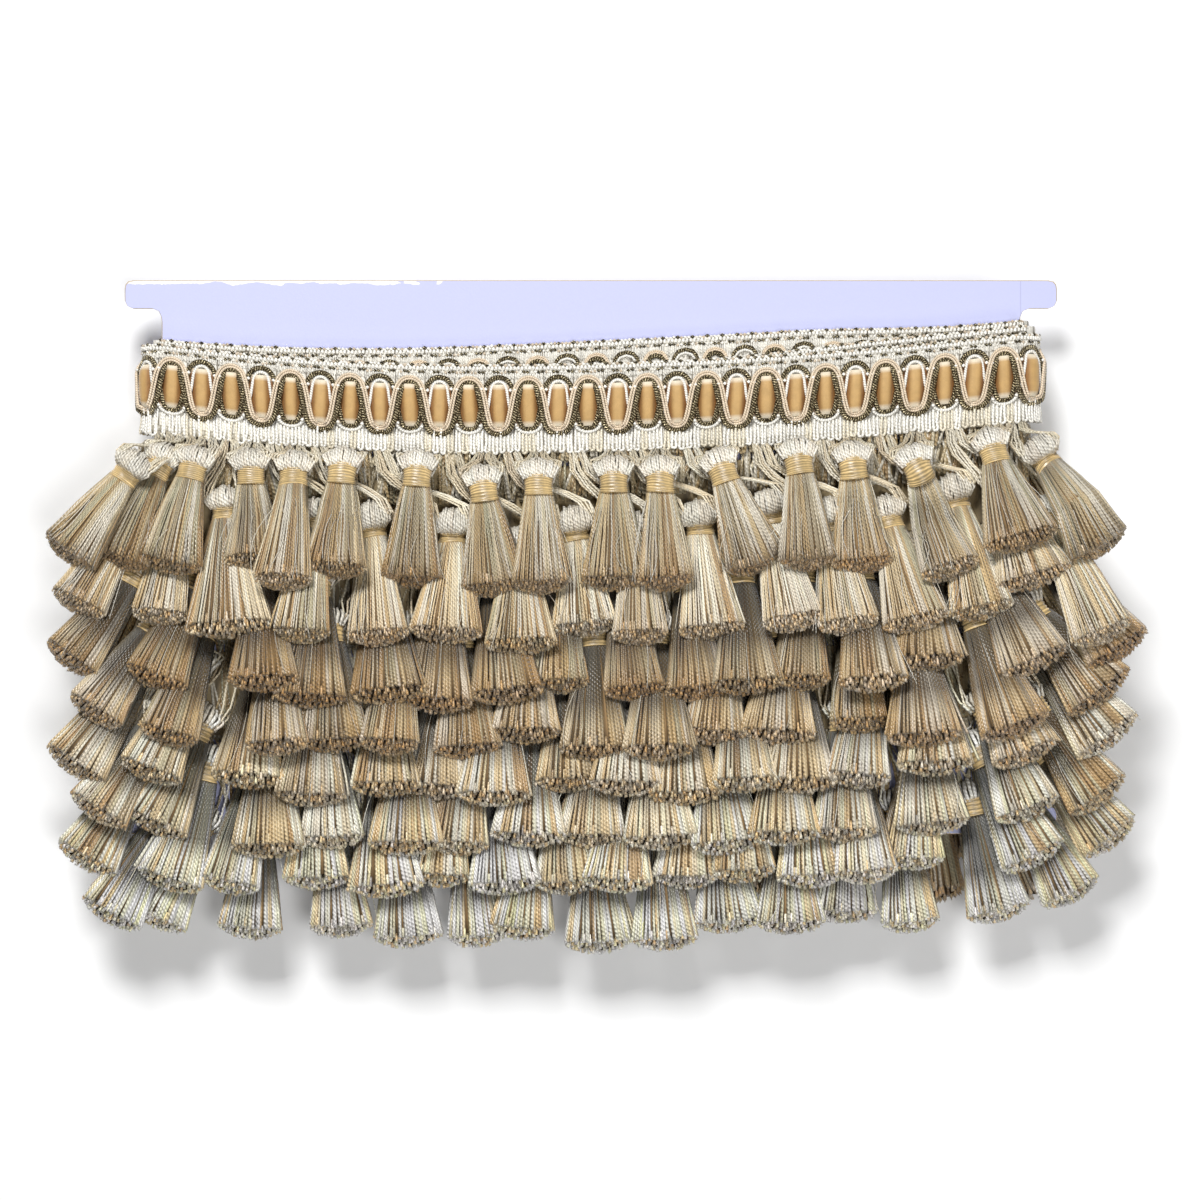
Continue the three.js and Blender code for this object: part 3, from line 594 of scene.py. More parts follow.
# Yarn colours of the skirts, with how often each is taken.
YARNS = (
    (srgb(255, 249, 232), 0.26), (srgb(246, 232, 198), 0.20), (srgb(234, 210, 162), 0.17),
    (srgb(214, 182, 124), 0.14), (srgb(182, 142, 84), 0.10), (srgb(176, 162, 130), 0.10),
    (srgb(196, 192, 160), 0.06),
)
YARN_COLOURS = np.array([row[0] for row in YARNS])
YARN_SHARES = np.array([row[1] for row in YARNS]) / sum(row[1] for row in YARNS)
YARN_ORDER = np.linspace(1, -1, len(YARNS))
PEARL = srgb(254, 251, 242)
CREAM = srgb(242, 232, 208)
# grey of the heads' tops: painted shade
HEAD_TOP_SHADE = srgb(196, 188, 170)
# brown of the cut ends: the yarn ends' own brown, with painted shade
CUT_END_BROWN_AND_SHADE = srgb(168, 128, 78)
GOLD_THREAD = srgb(240, 208, 148)
# colour of the skirt's core: painted shade of the inner yarn
CORE_SHADE = srgb(146, 118, 80)
TAN = srgb(240, 220, 192)
BRONZE = srgb(160, 138, 92)
WEFT = srgb(253, 249, 238)
SHADED_WEFT = srgb(176, 156, 118)
WEFT_LINE = srgb(110, 98, 78)
RIBBON_GOLD = srgb(196, 158, 100)
# brown at the ribbon's sides: painted shade
RIBBON_SIDE_SHADE = srgb(134, 88, 38)
RIBBON_END = srgb(240, 228, 204)
CARD_COLOUR = srgb(194, 197, 232)
CARD_EDGE = srgb(198, 180, 152)
CREASE = {"x": 0.1505, "half_width": 0.0002}

# The bound neck: its narrowest half width, and how far the binding reaches above and below its middle
WAIST = 4.7
BINDING_REACH = 2.7

# A skirt's strands: half widths at least and at most, where they start, and how many stray; then its core
STRAND = {"least": 0.3, "most": 0.72, "start": 2.2, "stray_share": 0.02}
CORE_SIZE = {"sides": 12, "start": 1.5, "across": 0.88, "through": 0.86, "short_by": 0.9}
STRAY_COUNTS = {"outer": 4, "inner": 1, "behind": 0}
STRAY_RADIUS = 0.14
STUB_LENGTH = 3.0
GOLDEN_ANGLE = 2.39996

# Each row's turn and name, how far its yarns lean to the light ones, its brightness as painted light and
# shade, how brown its tips are with painted shade.
ROW_TONES = (
    (LAST, "short", -0.55, 0.8, 1.0), (LAST, "long", 0.3, 1.0, 0.8), (2, "short", -0.8, 0.84, 1.2),
    (2, "long", -0.4, 0.94, 1.1), (1, "short", 0.3, 1.1, 0.7), (1, "long", 0.5, 1.18, 0.6),
    (0, "short", 0.8, 1.28, 0.5), (0, "long", 1.0, 1.34, 0.4),
)

# The cut end: how far it slants and is rounded, and how uneven it is
TASSEL_CUT = {"slant": 2.4, "crown": 2.2, "uneven": 0.16}

# How finely each kind of tassel is made
DETAIL = {
    "outer": {"strands": 86, "stubs": 110, "stub_radius": 0.54, "head": 16, "binding": (17, 14), "leg": 9},
    "inner": {"strands": 60, "stubs": 56, "stub_radius": 0.7, "head": 9, "binding": (9, 12), "leg": 3},
    "behind": {"strands": 36, "stubs": 20, "stub_radius": 0.8, "head": 6, "binding": (7, 10), "leg": 2},
}

# Where along the skirt its strands have rings, how brown they are there with painted shade, and the painted
# shade under other tassels
SKIRT_RINGS = (0.0, 0.25, 0.5, 0.86, 1.0)
FEWER_RINGS = (0.0, 0.58, 0.82, 1.0)
BROWNING_AND_SHADE = (0.0, 0.0, 0.14, 0.36, 0.7)
COVERED_SHADE = (0.16, 0.2, 0.9, 1.0)


class Body:
    """A tassel's own axes in space, for placing its strands."""

    def __init__(self, tassel):
        self.tassel = tassel
        self.sideways = np.array([-tassel.skirt[1], tassel.skirt[0], 0.0])
        self.flat = 0.34 if tassel.kind["sole"] else 0.38
        self.rings = np.array(SKIRT_RINGS if tassel.kind is OUTER else FEWER_RINGS)

    def middle(self, t):
        """Middle of head or skirt, t along the skirt from the neck."""
        tassel = self.tassel
        t = np.asarray(t, float)
        plan = tassel.neck + tassel.skirt * t[..., None]
        z = tassel.middle_z(tassel.neck_at + np.maximum(t, 0.0))
        slope = (tassel.middle_z(max(tassel.neck_at - 9.0, 0.0)) - tassel.middle_z(tassel.neck_at)) / 9.0
        z = z + np.clip(slope, -0.6, 0.6) * np.maximum(-t, 0.0)
        return np.concatenate([plan, z[..., None]], axis=-1)

    def up(self, t):
        ahead, behind = self.middle(np.asarray(t, float) + 1.5), self.middle(np.asarray(t, float) - 1.5)
        return unit(np.cross(self.sideways, unit(behind - ahead)))

    def at(self, t, across, through):
        return (
            self.middle(t)
            + self.sideways * np.asarray(across)[..., None]
            + self.up(t) * np.asarray(through)[..., None]
        )


def skirt_half(tassel, t):
    """Half width and thickness of the skirt, t along it from the neck."""
    share = np.clip(t / tassel.skirt_length, 0, 1)
    half = mix(WAIST - 0.2, tassel.width / 2, share**0.85)
    thick = tassel.thick_at(tassel.neck_at + t)
    return half, thick


def strand_tints(rng, n, tone):
    """Colours of n neighbouring strands: picked in small runs, as the plies show."""
    shares = YARN_SHARES * np.exp(tone["lean"] * YARN_ORDER)
    picks = rng.choice(len(YARN_COLOURS), n, p=shares / shares.sum())
    repeat = rng.random(n) < 0.4
    for i in range(1, n):
        if repeat[i]:
            picks[i] = picks[i - 1]
    colours = mix(YARN_COLOURS[picks], tone["mean"], 0.28)
    # the tone's light brightens or darkens all the strands of a row: painted light and shade
    return np.minimum(colours * tone["light"] * rng.uniform(0.84, 1.12, (n, 1)), 0.97)


def cut_length(tassel, across, through, rng, n):
    """Where strands end: the cut slants back under the front and is rounded at its sides."""
    slant = -TASSEL_CUT["slant"] * through
    crown = TASSEL_CUT["crown"] * (0.3 - across**2)
    return tassel.skirt_length + slant + crown + rng.normal(0, TASSEL_CUT["uneven"], n)


def slant_ends(body, rings, paths, t):
    """Tilts the last ring of each strand into the plane of the slanted cut."""
    _, thick = skirt_half(body.tassel, t[:, -1])
    steepness = TASSEL_CUT["slant"] / (thick * body.flat)
    up = body.up(t[:, -1])
    height = ((rings[:, -1] - paths[:, -1:]) * up[:, None]).sum(-1)
    forward = unit(paths[:, -1] - paths[:, -2])
    rings[:, -1] -= forward[:, None] * (height * steepness[:, None])[..., None]
    return rings


def skirt_strands(pieces, body, rng, detail):
    """The strands of the skirt's shell, from under the binding to the cut end, each with its own length."""
    tassel = body.tassel
    n = detail["strands"]
    share = body.rings
    m = len(body.rings)
    theta = 2 * math.pi * (np.arange(n) + rng.uniform(-0.3, 0.3, n)) / n
    drift = rng.normal(0, 0.035, n)
    reach = rng.uniform(0.94, 1.04, n)
    stray = rng.random(n) < STRAND["stray_share"]
    reach = np.where(stray, reach + rng.uniform(0.06, 0.2, n), reach)
    length = cut_length(tassel, np.cos(theta), np.sin(theta), rng, n)
    t = mix(STRAND["start"], length[:, None], share)
    half, thick = skirt_half(tassel, t)
    angle = theta[:, None] + drift[:, None] * share**1.5
    grow = mix(0.94, reach[:, None], share**1.2)
    wave = rng.normal(0, 0.14, (n, m)) * (share * (1 - share) * 4)
    across = np.cos(angle) * half * grow + wave
    through = np.sin(angle) * thick * body.flat * grow
    paths = body.at(t, across, through)
    spacing = math.pi * 1.15 * (half + thick * body.flat) / n
    radius = np.clip(spacing * 0.86, STRAND["least"], STRAND["most"])
    sideways = body.sideways * np.cos(theta)[:, None, None]
    facing = unit(sideways + UPWARD * np.sin(theta)[:, None, None])
    rings = slant_ends(body, tube_rings(paths, radius, radius * 0.9, facing, 3), paths, t)
    middle = 1 - tassel.tone["middle"] * np.exp(-((np.cos(theta - 0.3) / 0.55) ** 2))
    tint = (strand_tints(rng, n, tassel.tone) * middle[:, None])[:, None, None, :]
    # painted shade: inner tassels darken near their necks, where the tassels above cover them
    if tassel.kind is INNER:
        tint = tint * np.array(COVERED_SHADE)[None, :, None, None]
    # the tips brown towards the cut: brown yarn ends, with painted shade where they face away from the light
    browning_and_shade = tassel.tone["tips"] * np.interp(body.rings, SKIRT_RINGS, BROWNING_AND_SHADE)
    browning_and_shade = np.clip(browning_and_shade, 0, 1)[None, :, None, None]
    pieces.loft(rings, mix(tint, tint * 0.35 + CUT_END_BROWN_AND_SHADE * 0.65, browning_and_shade))
    stray_threads(pieces, body, rng)


def stray_threads(pieces, body, rng):
    """A few fine threads that stand off the skirt."""
    tassel = body.tassel
    n = STRAY_COUNTS[tassel.kind["name"]]
    if n == 0:
        return
    share = np.linspace(0, 1, 7)
    t = mix(rng.uniform(3, 22, (n, 1)), tassel.skirt_length + rng.uniform(-3, 1.5, (n, 1)), share)
    half, thick = skirt_half(tassel, t)
    side = rng.uniform(-1, 1, (n, 1))
    across = half * side * (1 + 0.25 * share) + rng.normal(0, 1.6, (n, 1)) * np.sin(math.pi * share)
    through = thick * body.flat * (1.05 + 0.35 * np.sin(math.pi * share)) * np.sqrt(1 - 0.8 * side**2)
    paths = body.at(t, across, through)
    tint = mix(strand_tints(rng, n, tassel.tone), PEARL, 0.5)
    pieces.loft(tube_rings(paths, STRAY_RADIUS, STRAY_RADIUS, UPWARD, 3), tint)


def cut_end(pieces, body, rng, detail):
    """The cut ends that fill the skirt's open end, browned partly as yarn ends and partly as painted shade.
    """
    tassel = body.tassel
    n = detail["stubs"]
    radius = np.sqrt((np.arange(n) + 0.5) / n) * 0.97
    angle = np.arange(n) * GOLDEN_ANGLE
    across, through = np.cos(angle) * radius, np.sin(angle) * radius
    end = cut_length(tassel, across, through, rng, n) - 0.1
    t = np.stack([end - STUB_LENGTH, end], axis=1)
    half, thick = skirt_half(tassel, t)
    paths = body.at(t, across[:, None] * half, through[:, None] * thick * body.flat)
    radius = detail["stub_radius"]
    rings = slant_ends(body, tube_rings(paths, radius, radius, body.sideways, 3), paths, t)
    # stubs browned: brown yarn ends, with painted shade
    tint = mix(strand_tints(rng, n, tassel.tone), CUT_END_BROWN_AND_SHADE, min(0.1 + 0.55 * tassel.tone["tips"], 0.9))
    pieces.loft(rings, tint * rng.choice([0.5, 0.95, 1.5], n, p=[0.3, 0.4, 0.3])[:, None])


def skirt_core(pieces, body):
    """A body inside the strands, tinted dark as painted shade of the yarn within, so that nothing shows
    through between them.
    """
    tassel = body.tassel
    angle = 2 * math.pi * np.arange(CORE_SIZE["sides"]) / CORE_SIZE["sides"]
    crown = TASSEL_CUT["crown"] * (0.3 - np.cos(angle) ** 2) - TASSEL_CUT["slant"] * np.sin(angle)
    crown = crown - CORE_SIZE["short_by"]
    share = body.rings[:, None]
    t = mix(CORE_SIZE["start"], tassel.skirt_length + crown, share)
    half, thick = skirt_half(tassel, t)
    across = np.cos(angle) * half * CORE_SIZE["across"]
    through = np.sin(angle) * thick * body.flat * CORE_SIZE["through"]
    rings = body.at(t, across, through)
    # painted shade: darker still at the cut end
    shade = np.where(share > 0.9, 0.45, 1.0)[None, :, :, None]
    pieces.loft(rings[None], CORE_SHADE * shade, slot=SLOT_CORE)


def binding(pieces, body, rng, detail):
    """The neck binding: turns of satin thread round the waist, with painted shade in its grooves and a
    painted sheen, light at the sides and dark across the middle.
    """
    tassel = body.tassel
    count, sides = detail["binding"]
    t = np.linspace(-BINDING_REACH, BINDING_REACH, count)
    raised = np.arange(count) % 2 == 0
    ridge = np.where(raised, rng.uniform(0.1, 0.3, count), -0.2)
    waist = 0.35 * (t / BINDING_REACH) ** 2
    angle = 2 * math.pi * np.arange(sides) / sides
    half = WAIST + 0.05 + ridge + waist
    thick = tassel.kind["neck_thick"] * 0.46 + (ridge + waist) * (0.3 if tassel.kind["sole"] else 1.0)
    across = np.cos(angle) * half[:, None]
    through = np.sin(angle) * thick[:, None]
    tilt = (rng.uniform(-0.6, 0.6) + rng.normal(0, 0.08, count))[:, None] * np.cos(angle)
    rings = body.at(t[:, None] + tilt, across, through)
    # painted shade darkens the grooves between raised turns; painted sheen lightens the sides and darkens the
    # middle, as reflections of the lamps
    groove_shade = np.where(raised, rng.uniform(0.75, 1.1, count), 0.4)[:, None]
    painted_sheen = 1.1 - 0.5 * np.exp(-((np.cos(angle) / 0.35) ** 2))
    pieces.loft(rings[None], GOLD_THREAD * (groove_shade * painted_sheen)[None, ..., None], slot=SLOT_BINDING)


# The loop that head strands follow: along the skirt from the neck, up from the middle, half its width.
HEAD_LOOP = (
    (-2.2, 2.7, 5.0), (-4.2, 3.8, 6.3), (-6.2, 4.3, 6.9), (-8.0, 3.5, 6.6), (-9.4, 1.2, 5.9),
    (-9.2, -1.4, 5.8), (-6.4, -3.2, 6.0), (-2.2, -2.7, 5.0),
)


def head(pieces, body, rng, detail):
    """The folded yarn above the binding: loops that go up in front, over the hank and down behind, whitened
    as painted highlight and greyed at the top as painted shade.
    """
    tassel = body.tassel
    n = detail["head"]
    t, lift, wide = np.array(HEAD_LOOP).T
    u = np.linspace(-1, 1, n)
    bow = np.sqrt(1 - 0.6 * u**2)
    size = tassel.kind["neck_thick"] / 7.0
    rounding = 2.6 * (u**2)[:, None] * smooth((-t - 4) / 5)
    along = t + rounding + rng.normal(0, 0.3, (n, 1)) * smooth((-t - 4) / 5)
    across = u[:, None] * wide + rng.normal(0, 0.12, (n, len(t)))
    through = (lift * size) * bow[:, None] * rng.uniform(0.92, 1.06, (n, 1))
    paths = body.at(along, across, through)
    radius = min(7.4 / n * 1.2, 0.8)
    facing = unit(paths - body.at(along, 0 * across, 0 * across) + 1e-6)
    rings = tube_rings(paths, radius, 0.5, facing, 4)
    # painted highlight whitens the head strands towards pearl; painted shade greys them towards the top
    top = smooth((-t - 4.5) / 3.5)[None, :, None, None]
    tint = mix(strand_tints(rng, n, tassel.tone), PEARL, 0.65)[:, None, None, :]
    pieces.loft(rings, mix(tint, tint * 0.4 + HEAD_TOP_SHADE * 0.45, top * 0.8))


# Where the hanks come out from behind the loops: up and out from the root
HANK_START = (0.8, -1.5)


def hank(pieces, body, rng, detail):
    """The strands that hang from the heading and part to the two sides of the head."""
    tassel = body.tassel
    n = detail["leg"]
    share = np.linspace(0, 1, 6)
    root = np.array([*tassel.root, tassel.root_z])
    for way in (-1, 1):
        shoulder = body.at(np.array(-6.6), np.array(way * 6.2), np.array(1.4))
        inside = body.at(np.array(-3.4), np.array(way * 4.7), np.array(1.0))
        start = root + np.array([way * 1.6, *HANK_START])
        reach = np.linalg.norm(shoulder - start)
        pull = start + np.array([way * 0.6, -0.45 * reach, 0.9])
        lead = shoulder + np.array([*(-tassel.skirt * 0.3 * reach), 0.6])
        s = share[:, None]
        line = (1 - s) ** 3 * start + 3 * s * (1 - s) ** 2 * pull
        line = np.concatenate([line + 3 * s**2 * (1 - s) * lead + s**3 * shoulder, inside[None]])
        wave = np.linspace(0, 1, len(line))
        turn = 2 * math.pi * (np.arange(n)[:, None] / n + 0.3 * wave)
        size = mix(1.0, 2.1, np.sin(math.pi * wave))
        offset = np.stack([np.cos(turn) * size, 0 * turn, np.sin(turn) * size * 0.6], -1)
        curl = 0.25 * np.sin(6 * math.pi * wave + rng.uniform(0, 6, (n, 1)))
        offset[..., 0] += curl
        paths = line[None] + offset + rng.normal(0, 0.1, (n, len(line), 3))
        rings = tube_rings(paths, 0.44, 0.4, UPWARD, 4)
        tint = mix(strand_tints(rng, n, tassel.tone), CREAM, 0.5)[:, None, None, :]
        pieces.loft(rings, tint * mix(0.8, 1.0, wave)[..., None, None])


def dress_tassel(pieces, tassel, tone, rng):
    detail = DETAIL[tassel.kind["name"]]
    lean = tone["lean"] + rng.normal(0, 0.6)
    shares = YARN_SHARES * np.exp(lean * YARN_ORDER)
    mean = (YARN_COLOURS * shares[:, None]).sum(axis=0) / shares.sum()
    # painted light and shade of the row, varied a little for each tassel
    light = tone["light"] * rng.uniform(0.9, 1.04)
    tips, middle = tone["tips"] * rng.uniform(0.6, 1.2), rng.uniform(0.0, 0.4)
    tassel.tone = {"lean": lean, "mean": mean, "light": light, "tips": tips, "middle": middle}
    body = Body(tassel)
    skirt_core(pieces, body)
    for make in (skirt_strands, cut_end, head, binding, hank):
        make(pieces, body, rng, detail)


def root_strip(pieces, start, end):
    """The strip that holds the hanks, close under the heading, tinted dark as painted shade."""
    s = np.arange(start, end, 0.7)
    profile = {"out": (0.2, 1.2, 1.4, 1.2, 0.2), "up": (1.2, 1.2, 0.0, -1.4, -1.4)}
    out, up = np.array(profile["out"]), np.array(profile["up"])
    rib = 0.18 * np.where(np.arange(len(s)) % 2, 1.0, -1.0)[:, None] * (out > 1)
    rings = point_at(s[:, None], out + rib, up)
    # painted shade: the strip's cream is darkened to 0.45
    pieces.loft(rings[None], CREAM * 0.45, along=s[None])


# Hanks of covered turns, seen only in gaps: turn, strands, how far they hang, how far they rise.
HIDDEN_HANKS = (
    (0, 200, 34.0, 1.0), (1, 240, 32.0, 1.0), (2, 240, 32.0, 1.0), (3, 560, 26.0, 2.6),
    (3, 300, 13.0, 4.0),
)


def hidden_hanks():
    """Loose strands under the hidden turns' lower edges, in front of the card, darkened as painted shade."""
    pieces = Pieces()
    rng = np.random.default_rng(SEEDS["hidden"])
    # painted shade: the hidden hanks are tinted darker, as in deep shadow
    tone = {"lean": 0.0, "mean": YARN_COLOURS.mean(axis=0), "light": 0.66}
    for turn, n, length, rise in HIDDEN_HANKS:
        x = np.linspace(-HALF_RUN, HALF_RUN, n) + rng.normal(0, 0.6, n)
        s = turn * TURN + HALF_RUN + np.clip(x, -HALF_RUN, HALF_RUN)
        start = point_at(s, 0.8 + rng.uniform(0, 0.8, n), rng.uniform(0.4, 1.0, n))
        lean = rng.normal(0, 0.22, n)
        share = np.array([0.0, 0.35, 0.7, 1.0])
        sideways = lean[:, None] * length * share + rng.normal(0, 0.3, (n, 4))
        hang = np.broadcast_arrays(sideways, -length * share, rise * smooth(share * 1.6))
        paths = start[:, None] + np.stack(hang, -1)
        radius = rng.uniform(0.45, 0.75, n)[:, None]
        tint = strand_tints(rng, n, tone)
        pieces.loft(tube_rings(paths, radius, radius * 0.8, UPWARD, 4), tint)
    piece = pieces.build("hidden_hanks", TASSEL_MATERIALS)


def front_strip(turn):
    start = turn * TURN
    return max(START, start - BEND / 2 + GAP), start + RUN + BEND / 2 - GAP


def back_strip(turn):
    start = turn * TURN + RUN
    first = start + (ENDS["back_start"] * BEND if turn == LAST - 1 else BEND / 2 + GAP)
    third = start + BEND + BACK_ROW["third_turn_reach"] * RUN
    return first, third if turn == 2 else (turn + 1) * TURN - BEND / 2 - GAP


def row_tone(side, turn, row):
    for at_turn, name, lean, light, tips in ROW_TONES:
        if (side, at_turn, name) == ("front", turn, row):
            return {"lean": lean, "light": light, "tips": tips}
    return {"lean": 0.1, "light": 0.97, "tips": 0.7}


def tassel_pieces():
    sides = (
        ("front", FRINGED_TURNS, pile_in_front(), front_strip),
        ("back", BACK_TURNS, pile_behind(), back_strip),
    )
    for side, turns, rows, strip in sides:
        for number, turn in enumerate(turns, start=1):
            rng = np.random.default_rng(SEEDS["tassels"] * number + len(side))
            pieces = Pieces()
            root_strip(pieces, *strip(turn))
            for row in ("long", "short"):
                for tassel in rows[turn][row]:
                    dress_tassel(pieces, tassel, row_tone(side, turn, row), rng)
            piece = pieces.build(f"tassels_{side}_{number}", TASSEL_MATERIALS)
            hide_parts(f"fringe_{side}_{number}")


# The heading

OUTER_START = OUTER_FROM + 0.5
EDGE = {"pearl_up": 28.1, "pearl_pitch": 1.3, "lower_up": 26.75, "upper_up": 29.25, "out": 0.55}
LATTICE_MIDDLE, LATTICE_SWING = 15.0, 9.1
GROUND_STEPS = {"hidden": 2.8, "peeping": 1.2, "outermost": 0.45}
RIB = 0.1
WEFT_THREAD = {"pitch": 0.66, "top": 27.0, "half_width": 0.29, "half_thick": 0.26}
STITCH = {"sideways": 4.2, "places": ((5.6, 2.4), (-6.9, 2.2)), "size": (0.75, 0.6, 0.5)}
LOOP = {"width": 1.3, "half": 0.72, "neck": 0.62, "heights": (2.2, 4.4, 6.6)}
LATTICE = {"low": 0.6, "cross_over": 2.5, "cross_under": 1.4}
RIBBON = {"half_height": 7.4, "half_width": 3.0, "base": 0.4, "edge": 0.7, "puff": 3.0}

# A lattice cord from the middle of its crest to the middle of its trough: sideways, height.
CORD_WAVE = (
    (0.0, 1.0), (2.2, 0.93), (3.8, 0.70), (4.7, 0.3), (5.6, -0.25), (6.5, -0.75), (8.2, -0.96),
    (10.35, -1.0),
)


def window_middles(start, end):
    """Middles of the windows between two lengths; those at even places lie under the satin cord's crests."""
    centre = WINDOWS_FROM
    first = math.ceil((start - centre) / PITCH)
    last = math.floor((end - centre) / PITCH)
    number = np.arange(first, last + 1)
    return centre + number * PITCH, number % 2 == 0


def heading_ground():
    """The woven band on all its turns, with ribs; it is thinner where the trimmings lie on it."""
    pieces = Pieces()
    rng = np.random.default_rng(SEEDS["ground"])
    seen_from = (LAST - 2) * TURN - BEND
    parts = (
        {"from": START, "to": seen_from, "thick": GROUND_THICK, "step": GROUND_STEPS["hidden"]},
        {"from": seen_from, "to": OUTER_FROM, "thick": GROUND_THICK, "step": GROUND_STEPS["peeping"]},
        {"from": OUTER_START, "to": END, "thick": OUTER_THICK, "step": GROUND_STEPS["outermost"]},
    )
    for part in parts:
        steps = math.ceil((part["to"] - part["from"]) / part["step"])
        s = np.linspace(part["from"], part["to"], steps + 1)
        thick = part["thick"]
        out = np.array([0.1, 0.0, 0.0, 0.1, thick - 0.15, thick, thick, thick, thick - 0.15])
        up = np.array([0.1, 0.8, 28.7, 29.4, 29.4, 28.7, 15.0, 0.8, 0.1])
        rib = RIB * np.where(np.arange(len(s)) % 2, 1.0, -1.0)[:, None] * (out > 0.5)
        rings = point_at(s[:, None], out + rib, up)
        seen = (s >= seen_from)[:, None]
        tint = np.where(seen, WEFT, SHADED_WEFT) * rng.uniform(0.86, 1.04, (len(s), 1))
        off = (s - (WINDOWS_FROM)) / PITCH + 0.5
        line = np.abs(off - np.round(off)) * PITCH < part["step"] / 2
        tint = np.where(line[:, None], WEFT_LINE, tint)
        pieces.loft(rings[None], tint[None, :, None, :], along=s[None])
    piece = pieces.build("heading_ground", [GROUND])
    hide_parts("gimp_heading")


def beads(pieces, s, out, up, size, tint, sides=6, rings=4):
    """Small egg-shaped knots at lengths s; size is their half width, half height and half thickness."""
    s, out, up = (np.broadcast_to(v, np.shape(s)).astype(float) for v in (s, out, up))
    wide, tall, deep = (np.broadcast_to(v, np.shape(s))[:, None, None] for v in size)
    tip = math.radians(78)
    lat = np.linspace(-tip, tip, rings)[None, :, None]
    lon = (2 * math.pi * (np.arange(sides) + 0.5) / sides)[None, None, :]
    along = s[:, None, None] + wide * np.cos(lat) * np.cos(lon)
    raised = out[:, None, None] + deep * np.cos(lat) * np.sin(lon)
    height = up[:, None, None] + tall * np.sin(lat) + 0 * lon
    pieces.loft(point_at(along, raised, height), tint)


def edge_spans():
    """Where the bead edge is made: the outermost turn, and the two earlier ones that peep out above it."""
    fronts = [(turn * TURN - 3.0, turn * TURN + RUN + 3.0, GROUND_THICK) for turn in (LAST - 2, LAST - 1)]
    return [*fronts, (OUTER_START + 1, END - 1, OUTER_THICK)]


def bead_edges():
    """The picot edge: pearl knots between rows of bronze and gold ones."""
    pearl, bronze = Pieces(), Pieces()
    rng = np.random.default_rng(SEEDS["edges"])
    for start, end, thick in edge_spans():
        pitch = EDGE["pearl_pitch"]
        s = np.arange(start, end, pitch)
        n = len(s)
        out = thick + EDGE["out"] + rng.normal(0, 0.05, n)
        size = (0.62, 0.84, 0.62)
        tint = PEARL * rng.uniform(0.9, 1.0, (n, 1))
        beads(pearl, s, out, EDGE["pearl_up"] + rng.normal(0, 0.06, n), size, tint)
        place_in_group = np.arange(n) % 4
        for up, dark, wide, tall in ((EDGE["upper_up"], 0, 1.05, 0.55), (EDGE["lower_up"], 2, 0.8, 0.55)):
            is_dark = (place_in_group == dark) | ((place_in_group == (dark + 1) % 4) & (up < 28))
            gold = np.where(rng.random(n)[:, None] < 0.6, WEFT, TAN * 0.8)
            tint = np.where(is_dark[:, None], BRONZE * 0.3, gold) * rng.uniform(0.8, 1.0, (n, 1))
            height = up + rng.normal(0, 0.1, n) - 0.15 * (~is_dark)
            for target, chosen in ((bronze, is_dark), (pearl, ~is_dark)):
                size = (wide * np.where(chosen & is_dark, 1.0, 0.75)[chosen], tall, 0.55)
                at = (s[chosen] + pitch / 2, out[chosen] - 0.1, height[chosen])
                beads(target, *at, size, tint[chosen], sides=5, rings=3)
    weft_threads(pearl, rng)
    stitches(pearl, rng)
    loops(pearl, rng)
    light = pearl.build("gimp_edge_knots", [THREAD])
    dark = bronze.build("gimp_edge_bronze", [METAL])


def weft_threads(pieces, rng):
    """White threads that stand upright between the windows' tops and the bead edge."""
    bands = (
        (OUTER_START + 1, END - 1, OUTER_THICK, 24.3),
        ((LAST - 2) * TURN, (LAST - 2) * TURN + RUN, GROUND_THICK, 22.5),
    )
    for start, end, thick, low in bands:
        s = np.arange(start, end, WEFT_THREAD["pitch"])
        n = len(s)
        s = s + rng.normal(0, 0.08, n)
        out = thick + 0.2 + np.array([0.0, 0.12, 0.0]) + rng.normal(0, 0.05, (n, 1))
        top = WEFT_THREAD["top"]
        up = np.array([low, (low + top) / 2, top]) + rng.normal(0, 0.15, (n, 1))
        paths = point_at(s[:, None] + 0 * up, out, up)
        facing = outward(s[:, None] + 0 * up)
        rings = tube_rings(paths, WEFT_THREAD["half_width"], WEFT_THREAD["half_thick"], facing, 4)
        pieces.loft(rings, WEFT * rng.uniform(0.72, 1.0, (n, 1)))


def stitches(pieces, rng):
    """White stitches that tie the lattice down at the four corners of each window."""
    middles, _ = window_middles(OUTER_START + 8, END - 4)
    for sideways in (-STITCH["sideways"], STITCH["sideways"]):
        for height, out in STITCH["places"]:
            n = len(middles)
            s = middles + sideways + rng.normal(0, 0.2, n)
            up = LATTICE_MIDDLE + height + rng.normal(0, 0.25, n)
            beads(pieces, s, OUTER_THICK + out, up, STITCH["size"], PEARL, rings=3)


